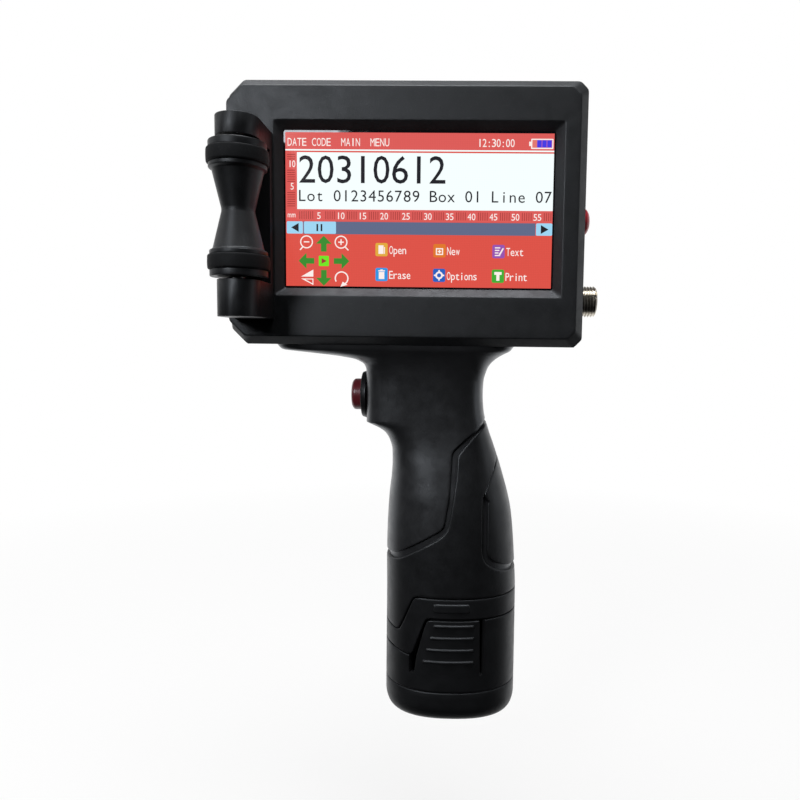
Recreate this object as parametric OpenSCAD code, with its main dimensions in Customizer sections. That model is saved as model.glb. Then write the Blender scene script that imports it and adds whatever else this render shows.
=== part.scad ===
// Handheld date code inkjet printer: a touch screen head on a pistol grip, with guide rollers beside the print face
// and a clip-in battery pack. Origin: centre of the battery base's underside. +X right, +Y away from the user, +Z up.

/* [Head] */
// Print face side of the head, left of the grip axis
head_left = 81; // [80:0.5:82]
// Right side of the head, right of the grip axis
head_right = 46; // [45.5:0.5:47]
// Height of the head's underside
head_bottom = 144.5; // [144.5:0.5:145]
// Height of the head's top
head_top = 237.5; // [237:0.5:240]
// Depth of the head, front to rear
head_depth = 48; // [48:0.5:49]
// Corner chamfer on the print face side
left_chamfer = 5.5; // [4:0.5:6]
// Corner chamfer on the right side
right_chamfer = 2.8; // [2:0.2:3]
// Width of the bevel around the front face
front_bevel = 3; // [2:0.25:3]
// Depth of the bevel around the front face
bevel_depth = 4; // [3.5:0.25:4]
// Wall of the rear housing
wall = 2.5; // [2.2:0.1:2.5]

/* [Screen] */
// Visible width of the display
screen_w = 95.04; // [94:0.01:95.1]
// Visible height of the display
screen_h = 53.86; // [53:0.01:54]
// Middle of the screen, left of the grip axis
screen_x = 13.3; // [13:0.1:13.5]
// Height of the middle of the screen
screen_z = 192.4; // [192:0.1:193]
// Depth of the screen below the front face
screen_recess = 2.6; // [2.4:0.1:2.6]

/* [Rollers] */
// Distance of a roller axis from the head's face
roller_reach = 15.5; // [15.5:0.1:16]
// Radius of the rubber rings
ring_r = 10.1; // [10:0.05:10.2]
// How far a ring stands out past the print face
ring_proud = 1.0; // [0.9:0.1:1.2]
// Height of the middle of the rollers
roller_z = 188.3; // [188:0.1:188.5]
// Radius of the bracket's end blocks
block_r = 7.1; // [7.0:0.1:7.2]

/* [Controls] */
// Height of the trigger's axis
trigger_z = 125; // [124.5:0.5:125.5]
// Trigger travel
trigger_travel = 2.5; // [1:0.5:2.5]
// Height of the power button's axis
power_z = 192.7; // [190:0.1:195]
// Power button travel
power_travel = 1.5; // [0.5:0.5:1.5]
// Height of the sensor connector's axis
connector_z = 162.2; // [162:0.1:163]
// Thread radius of the sensor connector
connector_r = 6; // [6:0.5:6]

/* [Grip] */
// Wall of the grip shells
grip_wall = 3.4; // [3.2:0.1:3.4]
// Thickness of the soft grip sleeve
sleeve = 1.2; // [1:0.1:1.2]
// Radius of one battery cell
cell_r = 9.1; // [9:0.05:9.15]
// Length of one battery cell
cell_length = 65; // [64:0.5:65]

/* [Hidden] */
$fn = 48;
e = 0.01;               // overshoot of a cutter past the face that it opens
front_y = -head_depth / 2;
rear_y = head_depth / 2;
seam_y = front_y + bevel_depth;
glass_y = front_y + screen_recess;
module_w = 105.5;       // outline of the display module and its touch glass
module_h = 67.2;
glass_t = 1.3;
module_t = 3;
board_y = -13;          // front face of the main board
board_t = 1.6;
board_lo = [-60, 158];  // main board corners, x and z
board_hi = [34, 226];
board_holes = [[-56, 162], [30, 162], [-56, 222], [30, 222]];
housing_posts = [[-71.5, 150.4], [-1.5, 231.5], [39.5, 231], [39.5, 150.9]];
handle_posts = [[-12.5, 98], [6.5, 121]];
neck_posts = [[-27.5, -10], [-27.5, 10], [6, -10], [6, 10]];
roller_x = -head_left - ring_proud + ring_r;
block_top = 29.9;       // ends of the roller bracket, from the roller's middle
block_top_low = 23.2;
block_low_top = -22.6;
block_low = -34.8;
ring_lo = 14.6;         // a rubber ring's lower and upper edge, from the roller's middle
ring_hi = 19.5;
hub_hi = 21.8;
axle_r = 2;
running_gap = 0.03;     // radial clearance of the axle in its bearings
bearing_r = 4.5;
bearing_t = 2.5;
cartridge_x = [-74, -8.2];      // ink cartridge body
cartridge_y = [-6.4, 16.6];
cartridge_z = [157.5, 231];
nozzle_x = -78.1;
nozzle_y = 5.1;
nozzle_z = 171;
guide_wall = 1.4;
slide_gap = 0.4;
neck_x = -33.8;         // flat left face of the neck, which holds the trigger
base_z = 12.9;          // seam between the battery base and the battery shell
cell_x = 9.6;           // a cell's axis, each side of the middle
case_r = 10.6;          // outer radius of the cell case
case_top = 75.4;
cells_z = 7.4;

// Grip and battery outline: height, left side, right side, half depth, squareness of the corners
grip_sections = [
    [0, -20.5, 21.3, 14.6, 2.5], [1.2, -23.6, 24.0, 17.3, 2.4], [3.4, -25.2, 25.3, 19.1, 2.35],
    [6.5, -25.9, 25.9, 20.0, 2.3], [base_z, -25.9, 25.9, 20.0, 2.3], [49, -25.8, 25.8, 20.0, 2.3],
    [60, -25.9, 25.2, 20.0, 2.3], [70, -25.8, 24.5, 19.9, 2.3], [80, -25.4, 23.4, 19.6, 2.3],
    [87, -24.9, 21.9, 19.1, 2.4], [93, -24.2, 20.2, 18.3, 2.5], [99, -23.8, 18.4, 17.4, 2.7],
    [104, -23.9, 16.7, 16.6, 2.9], [108, -24.9, 15.3, 16.1, 3.2], [111, -26.7, 14.2, 15.9, 3.5],
    [113.5, -30.4, 13.4, 15.8, 3.8], [115, neck_x, 12.9, 15.8, 4], [120, neck_x, 11.8, 15.8, 4],
    [126, neck_x, 11.4, 16.0, 4], [131, neck_x, 11.6, 16.4, 4], [135, neck_x, 12.6, 17.0, 4.3],
    [137, -34.4, 13.5, 17.5, 4.6], [139, -37.6, 15.2, 18.2, 5], [140.3, -44.4, 16.8, 18.8, 5.5],
    [141.6, -56.4, 19.0, 19.6, 6], [142.6, -65.0, 21.0, 20.3, 6], [head_bottom, -67.0, 22.6, 20.8, 6]
];
// Seams across the grip, as x and z from left to right
grip_foot = [[-40, 37.8], [-24.6, 36], [-20.2, 34.6], [-14.1, 49.5], [40, 49.5]];
collar_foot = [[-40, 29.6], [-24, 28], [-14.7, 26.2], [-9.2, 41.6], [40, 41.4]];
sleeve_edge = [[-40, 63.4], [-24.2, 64.2], [-21.2, 65.2], [-13.6, 69.8], [-3.1, 76.2], [-1.1, 88.5], [-0.3, 104],
    [0.5, 105.5], [12.1, 116.2], [40, 141.9]];
palm_edge = [[40, 55.6], [24.4, 57.8], [21.1, 58.5], [16.3, 60.5], [13, 63], [11.6, 66.5], [11.5, 87], [14.6, 94.8],
    [17.4, 101.5], [40, 155]];
tab_w = [-15.7, 13.2];  // sides of the release tab's hole
tab_foot = 17;

// ---- building blocks ----

// A flat outline in x and z, made solid from depth y0 to depth y1
module slab(y0, y1) {
    translate([0, y1, 0]) rotate([90, 0, 0]) linear_extrude(y1 - y0) children();
}

// A round bar along X, Y or Z
module bar_x(r, x0, x1, y = 0, z = 0) { translate([x0, y, z]) rotate([0, 90, 0]) cylinder(r = r, h = x1 - x0); }
module bar_y(r, y0, y1, x = 0, z = 0) { translate([x, y0, z]) rotate([-90, 0, 0]) cylinder(r = r, h = y1 - y0); }
module bar_z(r, z0, z1, x = 0, y = 0) { translate([x, y, z0]) cylinder(r = r, h = z1 - z0); }

// A block given by its low and high corner
module block(lo, hi) { translate(lo) cube(hi - lo); }

// The head's outline with its chamfered corners, drawn in by d on every side but the left, which takes dl
module head_outline(d = 0, dl = undef) {
    in_l = is_undef(dl) ? d : dl;
    l = -head_left + in_l;
    r = head_right - d;
    b = head_bottom + d;
    t = head_top - d;
    cl = left_chamfer;
    cr = right_chamfer;
    polygon([[l + cl, b], [r - cr, b], [r, b + cr], [r, t - cr], [r - cr, t], [l + cl, t], [l, t - cl], [l, b + cl]]);
}

// A rectangle in x and z around a middle
module window(x, z, w, h) { translate([x - w / 2, z - h / 2]) square([w, h]); }

// One closed ring of the grip: a superellipse between the section's sides, drawn in by d
ring_points = 36;
function power_of(v, k) = sign(v) * pow(abs(v), k);
function section_ring(s, d) = [
    for (i = [0 : ring_points - 1]) let (a = 360 * i / ring_points, k = 2 / s[4])
        [(s[1] + s[2]) / 2 + ((s[2] - s[1]) / 2 - d) * power_of(cos(a), k), (s[3] - d) * power_of(sin(a), k), s[0]]
];

// The grip's whole body up to the section at height top, drawn in by d
module grip_body(d = 0, top = 300) {
    sections = [for (s = grip_sections) if (s[0] <= top) s];
    n = ring_points;
    m = len(sections);
    points = [for (s = sections) each section_ring(s, d)];
    sides = [for (j = [0 : m - 2], i = [0 : n - 1]) let (a = j * n + i, b = j * n + (i + 1) % n)
        each [[a, a + n, b + n], [a, b + n, b]]];
    polyhedron(points = points, faces = concat([[for (i = [0 : n - 1]) i]], sides,
        [[for (i = [n - 1 : -1 : 0]) (m - 1) * n + i]]));
}

// Everything above a seam, or below it, shifted by v, as a solid through the whole depth
module above(seam, v = [0, 0]) {
    slab(-40, 40) translate(v) polygon(concat(seam, [[60, 300], [-90, 300], [-90, seam[0][1]]]));
}
module below(seam, v = [0, 0]) {
    slab(-40, 40) translate(v) polygon(concat(seam, [[40, -20], [-40, -20]]));
}

// The space inside the grip: everything further in than the wall, from height z0 up
module grip_space(z0) {
    intersection() {
        grip_body(grip_wall);
        block([-100, -40, z0], [60, 40, head_bottom + 1]);
    }
}

// A wire through a list of points, with a bead at each bend
module wire(points, r) {
    for (i = [0 : len(points) - 2]) {
        v = points[i + 1] - points[i];
        translate(points[i]) rotate([0, acos(v[2] / norm(v)), atan2(v[1], v[0])])
            cylinder(r = r, h = norm(v), $fn = 8);
        if (i > 0) translate(points[i]) sphere(r = r * 1.15, $fn = 8);
    }
}

// A cap screw along Y: its head from y0 towards +Y, its shank towards -Y
module screw_y(x, y0, z, head_r, head_t, r, length) {
    difference() {
        union() {
            bar_y(head_r, y0, y0 + head_t, x, z);
            bar_y(r, y0 - length, y0, x, z);
        }
        translate([x, y0 + head_t + e, z]) rotate([90, 0, 0]) cylinder(r = head_r * 0.5, h = 1, $fn = 6);
    }
}

// ---- head ----

module front_cover() {
    color("#2c2e31") difference() {
        union() {
            hull() {
                slab(front_y, front_y + e) head_outline(front_bevel, 0);
                slab(seam_y - e, seam_y) head_outline(0);
            }
            slab(seam_y, seam_y + 2) difference() {
                head_outline(wall + 0.1);
                window(-17.5, 191, 119, 85.5);
            }
            for (p = housing_posts) bar_y(3.2, seam_y - e, 0, p[0], p[1]);
        }
        // Opening that slopes in to the screen
        hull() {
            slab(front_y - e, front_y) window(-screen_x, screen_z, screen_w + 7, screen_h + 7.2);
            slab(glass_y, glass_y + e) window(-screen_x, screen_z, screen_w + 1.6, screen_h + 2);
        }
        slab(glass_y, seam_y + 3) window(-screen_x, screen_z, module_w + 0.4, module_h + 0.4);
        for (p = housing_posts) bar_y(1.15, -13, e, p[0], p[1]);
        for (z = [roller_z + 26.5, roller_z - 28.7]) bar_y(1.3, front_y - e, seam_y + e, roller_x, z);
    }
}

module rear_housing() {
    color("#26282a") difference() {
        union() {
            difference() {
                hull() {
                    slab(seam_y, rear_y - 2) head_outline(0);
                    slab(rear_y - e, rear_y) head_outline(2);
                }
                slab(seam_y - e, rear_y - wall) head_outline(wall);
            }
            for (p = housing_posts) bar_y(3.7, 0, rear_y - wall + e, p[0], p[1]);
        }
        for (p = housing_posts) {
            bar_y(1.4, -e, rear_y, p[0], p[1]);
            bar_y(2.7, 3, rear_y + e, p[0], p[1]);
        }
        // Way in for the ink cartridge, window for its nozzles and the recess for the print face plate
        block([-head_left + wall, cartridge_y[0] - slide_gap, head_top - 8.5],
            [cartridge_x[1] + slide_gap, cartridge_y[1] + slide_gap, head_top + 1]);
        block([-head_left - e, nozzle_y - 5, nozzle_z - 10], [-head_left + wall + e, nozzle_y + 5, nozzle_z + 10]);
        block([-head_left - e, nozzle_y - 12, nozzle_z - 17], [-head_left + 0.8, nozzle_y + 12, nozzle_z + 17]);
        // Power button, sensor connector, data socket, wires and neck screws
        bar_x(6.05, head_right - wall - e, head_right + e, 0, power_z);
        bar_x(connector_r - 0.45, head_right - wall - e, head_right + e, 0, connector_z);
        slab(rear_y - wall - e, rear_y + e) window(19, 166, 13.6, 6.1);
        block([-24, -12, head_bottom - e], [4, 12, head_bottom + wall + e]);
        for (p = neck_posts) bar_z(1.4, head_bottom - e, head_bottom + wall + e, p[0], p[1]);
        for (i = [0 : 5]) slab(rear_y - wall - e, rear_y + e) window(20, 203 + 4.2 * i, 26, 1.8);
        for (z = [roller_z + 26.5, roller_z - 28.7]) bar_y(1.3, rear_y - wall - e, rear_y + e, roller_x, z);
    }
}

module touch_glass() {
    color("#101114") slab(glass_y, glass_y + glass_t) window(-screen_x, screen_z, module_w, module_h);
}

module display_module() {
    y0 = glass_y + glass_t;
    color("#9a9da0") {
        slab(y0, y0 + module_t) window(-screen_x, screen_z, module_w, module_h);
        for (p = board_holes) difference() {
            bar_y(2.4, y0 + module_t - e, board_y, p[0], p[1]);
            bar_y(1.1, board_y - 3, board_y + e, p[0], p[1]);
        }
    }
}

module main_board() {
    back = board_y + board_t;
    color("#1d5c38") difference() {
        union() {
            block([board_lo[0], board_y, board_lo[1]], [board_hi[0], back, board_hi[1]]);
            for (c = [[-40, 182, 16, 16, 1.4], [-16, 196, 12, 20, 1.6], [6, 186, 10, 10, 2.4], [-46, 206, 22, 9, 1.8],
                      [14, 204, 14, 11, 2.6], [-4, 161, 12, 6, 2.2], [-20, 161, 10, 5, 2.2]])
                block([c[0], back - e, c[1]], [c[0] + c[2], back + c[4], c[1] + c[3]]);
        }
        for (p = board_holes) bar_y(1.3, board_y - e, back + e, p[0], p[1]);
    }
}

module cartridge_guide() {
    x0 = -head_left + wall;
    x1 = cartridge_x[1] + slide_gap;
    y0 = cartridge_y[0] - slide_gap;
    y1 = cartridge_y[1] + slide_gap;
    z0 = cartridge_z[0] - 0.3;
    top = head_top - wall;
    color("#3a3c3f") difference() {
        intersection() {
            block([x0, y0 - guide_wall, z0 - guide_wall], [x1 + guide_wall, y1 + guide_wall, top]);
            slab(-30, 30) head_outline(wall);
        }
        block([x0 - e, y0, z0], [x1, y1, top + e]);
        block([-72, nozzle_y - 6, z0 - guide_wall - e], [-52, nozzle_y + 6, z0 + e]);
        for (z = [176, 206]) block([-60, y0 - guide_wall - e, z], [-24, y0 + e, z + 14]);
    }
}

module contact_board() {
    top = cartridge_z[0] - 0.3 - guide_wall;
    color("#b8862c") {
        block([-74, nozzle_y - 9, top - 1.6], [-50, nozzle_y + 9, top]);
        for (i = [0 : 6], y = [-3.5, 0, 3.5]) bar_z(0.45, top - e, cartridge_z[0] - 0.2, -70.5 + 2.8 * i, nozzle_y + y);
    }
}

module print_face_plate() {
    color("#b9bbbd") difference() {
        block([-head_left, nozzle_y - 11.9, nozzle_z - 16.9], [-head_left + 0.8, nozzle_y + 11.9, nozzle_z + 16.9]);
        block([-head_left - e, nozzle_y - 4, nozzle_z - 8.5], [-head_left + 1, nozzle_y + 4, nozzle_z + 8.5]);
        for (y = [-9.5, 9.5], z = [-14.5, 14.5]) bar_x(1, -head_left - e, -head_left + 1, nozzle_y + y, nozzle_z + z);
    }
}

// ---- rollers: side is -1 at the front of the head and 1 at its rear ----

// Depth of a roller's axis, and of the head's face that carries it
function roller_y(side) = side * (rear_y + roller_reach);

module roller_bracket(side) {
    face = side * rear_y;
    axis = roller_y(side);
    color("#0c0d0f") difference() {
        union() {
            for (z = [[block_top_low, block_top], [block_low, block_low_top]]) {
                bar_z(block_r, roller_z + z[0], roller_z + z[1], roller_x, axis);
                block([roller_x - block_r, min(axis, face), roller_z + z[0]],
                    [roller_x + block_r, max(axis, face), roller_z + z[1]]);
            }
            block([roller_x - block_r, min(face, face + side * 3), roller_z + block_low],
                [roller_x + block_r, max(face, face + side * 3), roller_z + block_top]);
        }
        // Upper bearing seat, lower bearing seat and the encoder's chamber, closed below by its cover
        bar_z(bearing_r, roller_z + block_top_low - e, roller_z + block_top_low + bearing_t, roller_x, axis);
        bar_z(2.4, roller_z + block_top_low, roller_z + block_top - 1.2, roller_x, axis);
        bar_z(bearing_r, roller_z + block_low_top - bearing_t, roller_z + block_low_top + e, roller_x, axis);
        bar_z(5.9, roller_z + block_low - e, roller_z + block_low_top - bearing_t, roller_x, axis);
        for (z = [roller_z + 26.5, roller_z - 28.7])
            bar_y(1.15, min(face, face + side * 6.5), max(face, face + side * 6.5), roller_x, z);
    }
}

module bearings(side) {
    color("#c9ccce") for (z = [block_top_low, block_low_top - bearing_t]) translate([0, 0, roller_z + z]) difference() {
        bar_z(bearing_r, 0, bearing_t, roller_x, roller_y(side));
        bar_z(axle_r + running_gap, -e, bearing_t + e, roller_x, roller_y(side));
    }
}

module bottom_cover(side) {
    color("#141517") bar_z(5.9, roller_z + block_low, roller_z + block_low + 1.5, roller_x, roller_y(side));
}

module axle(side) {
    color("#d2d4d6") bar_z(axle_r, roller_z + block_low + 4.4, roller_z + block_top - 1.6, roller_x, roller_y(side));
}

module hub(side) {
    seat = ring_r - 1.9;
    lip = ring_r - 0.75;
    upper = [[lip, ring_lo - 1.2], [lip, ring_lo], [seat, ring_lo], [seat, ring_hi], [lip, ring_hi], [lip, hub_hi]];
    lower = [for (i = [len(upper) - 1 : -1 : 0]) [upper[i][0], -upper[i][1]]];
    color("#0f1012") translate([roller_x, roller_y(side), roller_z]) rotate_extrude()
        polygon(concat([[axle_r, hub_hi], [axle_r, -hub_hi]], lower,
            [[seat, 2 - ring_lo], [5.4, -0.6], [5.4, 0.6], [seat, ring_lo - 2]], upper));
}

// A rubber ring in the hub's groove; level is 1 for the upper ring and -1 for the lower one
module ring(side, level) {
    lo = level > 0 ? ring_lo : -ring_hi;
    hi = level > 0 ? ring_hi : -ring_lo;
    seat = ring_r - 1.9;
    color("#191919") translate([roller_x, roller_y(side), roller_z]) rotate_extrude() polygon([[seat, lo],
        [ring_r - 0.6, lo], [ring_r, lo + 0.6], [ring_r, hi - 0.6], [ring_r - 0.6, hi], [seat, hi]]);
}

module front_bracket() { roller_bracket(-1); }
module front_bearings() { bearings(-1); }
module encoder_cover() { bottom_cover(-1); }
module front_axle() { axle(-1); }
module front_hub() { hub(-1); }
module front_upper_ring() { ring(-1, 1); }
module front_lower_ring() { ring(-1, -1); }
module rear_bracket() { roller_bracket(1); }
module rear_bearings() { bearings(1); }
module rear_bracket_cover() { bottom_cover(1); }
module rear_axle() { axle(1); }
module rear_hub() { hub(1); }
module rear_upper_ring() { ring(1, 1); }
module rear_lower_ring() { ring(1, -1); }

module encoder_disc() {
    z = roller_z + block_low + 5.2;
    color("#8fa3ad") difference() {
        bar_z(5.2, z, z + 0.6, roller_x, roller_y(-1));
        bar_z(axle_r, z - e, z + 0.6 + e, roller_x, roller_y(-1));
        for (i = [0 : 11]) translate([roller_x, roller_y(-1), z]) rotate([0, 0, 30 * i]) translate([4.2, 0, -e])
            cylinder(r = 0.35, h = 1, $fn = 16);
    }
}

module encoder_board() {
    z = roller_z + block_low + 1.5;
    color("#1d5c38") {
        bar_z(5.8, z, z + 1, roller_x, roller_y(-1));
        block([roller_x + 2.4, roller_y(-1) - 1.4, z + 1 - e], [roller_x + 5.2, roller_y(-1) + 1.4, z + 2.4]);
    }
}

// ---- right side ----

// A hex nut on a bar along X, from x0 to x1, with its bore radius r
module nut_x(flats, x0, x1, z, r) {
    difference() {
        translate([x0, 0, z]) rotate([0, 90, 0]) rotate([0, 0, 30]) cylinder(r = flats / sqrt(3), h = x1 - x0, $fn = 6);
        bar_x(r, x0 - e, x1 + e, 0, z);
    }
}

module power_button_body() {
    color("#131416") difference() {
        union() {
            bar_x(8, head_right, head_right + 2, 0, power_z);
            bar_x(6, head_right - 15, head_right + e, 0, power_z);
        }
        bar_x(5.4, head_right - 7 - power_travel, head_right + 3, 0, power_z);
    }
}

module power_button_nut() {
    color("#c4c6c8") nut_x(14, head_right - wall - 3, head_right - wall, power_z, 6);
}

module power_button_cap() {
    color("#b3262c") translate([head_right - 6.5, 0, power_z]) rotate([0, 90, 0]) rotate_extrude()
        polygon([[0, 0], [5.2, 0], [5.2, 10], [4.9, 10.4], [4.1, 10.9], [2.6, 11.6], [0, 11.9]]);
}

module sensor_connector() {
    color("#b6aea2") difference() {
        union() {
            bar_x(connector_r, head_right, head_right + 8.5, 0, connector_z);
            bar_x(connector_r - 0.5, head_right - 13, head_right + e, 0, connector_z);
        }
        bar_x(4.6, head_right - 13 - e, head_right + 8.5 + e, 0, connector_z);
    }
}

module sensor_connector_nut() {
    color("#b6aea2") nut_x(14, head_right - wall - 3, head_right - wall, connector_z, connector_r - 0.5);
}

module sensor_connector_insert() {
    color("#1b1b1d") difference() {
        bar_x(4.6, head_right - 13, head_right + 7.4, 0, connector_z);
        for (i = [0 : 3]) bar_x(0.6, head_right + 2.4, head_right + 7.4 + e,
            2.2 * cos(45 + 90 * i), connector_z + 2.2 * sin(45 + 90 * i));
    }
}

module usb_shell() {
    color("#c9ccce") difference() {
        slab(9, rear_y) window(19, 166, 13.4, 5.9);
        slab(9.4, rear_y + e) window(19, 166, 12.8, 5.3);
    }
}

module usb_tongue() {
    color("#f2f2f0") {
        slab(9.4, 12) window(19, 166, 12.8, 5.3);
        slab(12 - e, 21.5) window(19, 167.2, 11.4, 1.9);
    }
}

// ---- grip ----

// One half of the grip's shell; the soft pieces lie on it, flush with the neck's skin
module grip_shell(y0, y1) {
    difference() {
        intersection() {
            union() {
                intersection() {
                    grip_body();
                    above(sleeve_edge);
                }
                grip_body(sleeve);
            }
            above(grip_foot, [0, 0.2]);
            block([-100, y0, 20], [60, y1, head_bottom]);
        }
        difference() {
            grip_space(20);
            for (p = handle_posts) bar_y(3.2, -30, 30, p[0], p[1]);
            for (p = neck_posts) bar_z(3.2, 136, head_bottom + 2, p[0], p[1]);
        }
        bar_x(8, -50, -20, 0, trigger_z);
        bar_x(10.9, neck_x + grip_wall, neck_x + 9, 0, trigger_z);
        for (p = neck_posts) bar_z(1.1, 137.5, head_bottom + e, p[0], p[1]);
    }
}

module handle_front() {
    color("#2a2b2d") difference() {
        grip_shell(-40, 0);
        for (p = handle_posts) bar_y(1.15, -12, e, p[0], p[1]);
    }
}

module handle_rear() {
    color("#2a2b2d") difference() {
        grip_shell(0, 40);
        for (p = handle_posts) {
            bar_y(1.4, -e, 20, p[0], p[1]);
            bar_y(2.7, 8, 20, p[0], p[1]);
        }
    }
}

// The soft skin between two depths below the grip's surface
module skin() {
    difference() {
        grip_body();
        grip_body(sleeve);
    }
}

module grip_sleeve() {
    color("#1c1d1e") difference() {
        intersection() {
            skin();
            below(sleeve_edge, [1.5, -1.4]);
            above(grip_foot, [0, 0.2]);
        }
        slab(-40, 40) translate([-0.1, -0.1]) polygon(concat(palm_edge, [[60, 136], [60, 40]]));
    }
}

module palm_pad() {
    color("#1c1d1e") intersection() {
        skin();
        slab(-40, 40) translate([1.2, 0.6]) polygon(concat(palm_edge, [[60, 136], [60, 40]]));
    }
}

module handle_collar() {
    color("#222325") difference() {
        union() {
            intersection() {
                grip_body(0, 60);
                above(collar_foot, [0, 0.2]);
                below(grip_foot, [0, -0.2]);
            }
            // Raised bar under the front seam
            intersection() {
                grip_body(-0.45, 60);
                block([-6.5, -24, 44.1], [7.2, -16, 47.6]);
            }
            // Inner ring that holds the two shells together
            intersection() {
                grip_body(grip_wall + 0.1, 60);
                block([-40, -40, 42.2], [40, 40, 55]);
            }
        }
        grip_body(4.8, 60);
        intersection() {
            grip_body(grip_wall + 0.3, 60);
            block([-40, -40, 0], [40, 40, 42.2]);
        }
    }
}

module trigger_body() {
    color("#0e0f11") difference() {
        union() {
            translate([neck_x - 2.1, 0, trigger_z]) rotate([0, 90, 0]) cylinder(r1 = 8.8, r2 = 9.5, h = 2.1);
            bar_x(7.9, neck_x, neck_x + 19, 0, trigger_z);
        }
        bar_x(6.4, neck_x - 3, neck_x + 7.1 + trigger_travel, 0, trigger_z);
    }
}

module trigger_nut() {
    color("#0e0f11") nut_x(18, neck_x + grip_wall + 0.4, neck_x + grip_wall + 3.4, trigger_z, 7.9);
}

module trigger_cap() {
    color("#8f1d24") translate([neck_x - 6.2, 0, trigger_z]) rotate([0, 90, 0]) rotate_extrude()
        polygon([[0, 0], [4.6, 0.15], [5.7, 0.6], [6.15, 1.5], [6.15, 13], [0, 13]]);
}

module terminal_block() {
    color("#303234") difference() {
        union() {
            block([-17, -9, 80], [15, 9, 87]);
            block([-5.5, -11.8, 82], [2.5, -8.9, 87]);
        }
        for (x = [-9, 7]) block([x - 0.45, -3, 79], [x + 0.45, 3, 85]);
    }
}

module battery_blades() {
    color("#c9a24b") for (x = [-9, 7]) block([x - 0.4, -3, 75.9], [x + 0.4, 3, 85]);
}

module power_wires() {
    color("#a31c1c") for (x = [-3.2, 0]) bar_z(0.9, 87, 161, x, -10.4);
}

module trigger_wires() {
    color("#d8c23a") for (y = [-1.6, 1.6])
        wire([[neck_x + 19, y, trigger_z], [-12, y, trigger_z], [-12 + y, -10.4, 141], [-15 + y, -10.4, 160.8]], 0.6);
}

// ---- fasteners ----

module housing_screws() {
    color("#8c8f92") for (p = housing_posts) screw_y(p[0], 3, p[1], 2.5, 2.2, 1.15, 14);
}

module handle_screws() {
    color("#8c8f92") for (p = handle_posts) screw_y(p[0], 8, p[1], 2.5, 2.2, 1.15, 18);
}

module bracket_screws() {
    color("#8c8f92") for (z = [roller_z + 26.5, roller_z - 28.7]) {
        screw_y(roller_x, seam_y, z, 2.3, 1.6, 1.15, 9);
        translate([0, 0, z]) mirror([0, 1, 0]) screw_y(roller_x, -rear_y + wall, 0, 2.3, 1.6, 1.15, 8);
    }
}

module neck_screws() {
    z = head_bottom + wall;
    color("#8c8f92") for (p = neck_posts) difference() {
        union() {
            bar_z(2.5, z, z + 2.2, p[0], p[1]);
            bar_z(1.1, z - 9, z + e, p[0], p[1]);
        }
        translate([p[0], p[1], z + 1.2]) cylinder(r = 1.2, h = 2, $fn = 6);
    }
}

module board_screws() {
    color("#8c8f92") for (p = board_holes) screw_y(p[0], board_y + board_t, p[1], 2.1, 1.4, 1.1, 4.5);
}

// ---- ink cartridge ----

module ink_cartridge() {
    mid = (cartridge_x[0] + cartridge_x[1]) / 2;
    color("#1a1b1e") {
        block([cartridge_x[0], cartridge_y[0], cartridge_z[0]], [cartridge_x[1], cartridge_y[1], cartridge_z[1]]);
        block([nozzle_x + 0.4, nozzle_y - 6, nozzle_z - 11], [cartridge_x[0] + e, nozzle_y + 6, nozzle_z + 11]);
        block([mid - 12, nozzle_y - 2, cartridge_z[1] - e], [mid + 12, nozzle_y + 2, head_top - 0.5]);
    }
}

module nozzle_plate() {
    color("#c79a3e") block([nozzle_x, nozzle_y - 3.4, nozzle_z - 8], [nozzle_x + 0.4, nozzle_y + 3.4, nozzle_z + 8]);
}

// ---- battery pack ----

// Outline of two round cells side by side, r around each
module cell_pair(r) {
    circle(r = r);
    for (x = [-cell_x, cell_x]) translate([x, 0]) circle(r = r);
    square([2 * cell_x, 2 * r], center = true);
}

// Region of a release tab in x and z, its gap to the shell given by g
module tab_outline(g) {
    polygon([[tab_w[0] + 3 * g, tab_foot + g], [tab_w[1] - 3 * g, tab_foot + g], [tab_w[1] - 3.4 * g, 60],
        [tab_w[0] + 6.1 + g, 60], [tab_w[0] + 6.1 + g, 42], [tab_w[0] + 4.6 * g, 26.2]]);
}

// A tab's own thickness: the outer part of the grip's body on one side
module tab_shell(side, inner) {
    y0 = side < 0 ? -24 : inner;
    y1 = side < 0 ? -inner : 24;
    intersection() {
        grip_body(0, 60);
        block([-30, y0, 0], [30, y1, 60]);
    }
}

module battery_shell() {
    color("#1f2022") difference() {
        intersection() {
            grip_body(0, 60);
            below(collar_foot, [0, -0.3]);
            block([-40, -40, base_z + 0.2], [40, 40, 60]);
        }
        translate([0, 0, base_z - 1]) linear_extrude(50) cell_pair(case_r + 0.05);
        difference() {
            grip_body(2.4, 60);
            block([-40, -40, base_z - 1], [40, 40, base_z + 3.2]);
        }
        for (y = [-24, 10.9]) slab(y, y + 13.1) tab_outline(0);
    }
}

module battery_base() {
    color("#1f2022") difference() {
        intersection() {
            grip_body(0, 60);
            block([-40, -40, -1], [40, 40, base_z]);
        }
        translate([0, 0, 3]) linear_extrude(50) cell_pair(case_r + 0.05);
    }
}

module battery_case() {
    color("#17181a") difference() {
        translate([0, 0, 3.2]) linear_extrude(case_top - 3.2) cell_pair(case_r);
        translate([0, 0, 3]) linear_extrude(cells_z + cell_length + 0.6 - 3) cell_pair(cell_r + 0.25);
        for (x = [-9, 7]) block([x - 0.9, -3.6, case_top - 3], [x + 0.9, 3.6, case_top + 1]);
    }
}

module battery_cells() {
    color("#2f6f9f") for (x = [-cell_x, cell_x]) bar_z(cell_r, cells_z, cells_z + cell_length, x, 0);
}

module battery_board() {
    color("#1d5c38") translate([0, 0, 5.6]) linear_extrude(1.6) cell_pair(cell_r);
}

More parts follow.
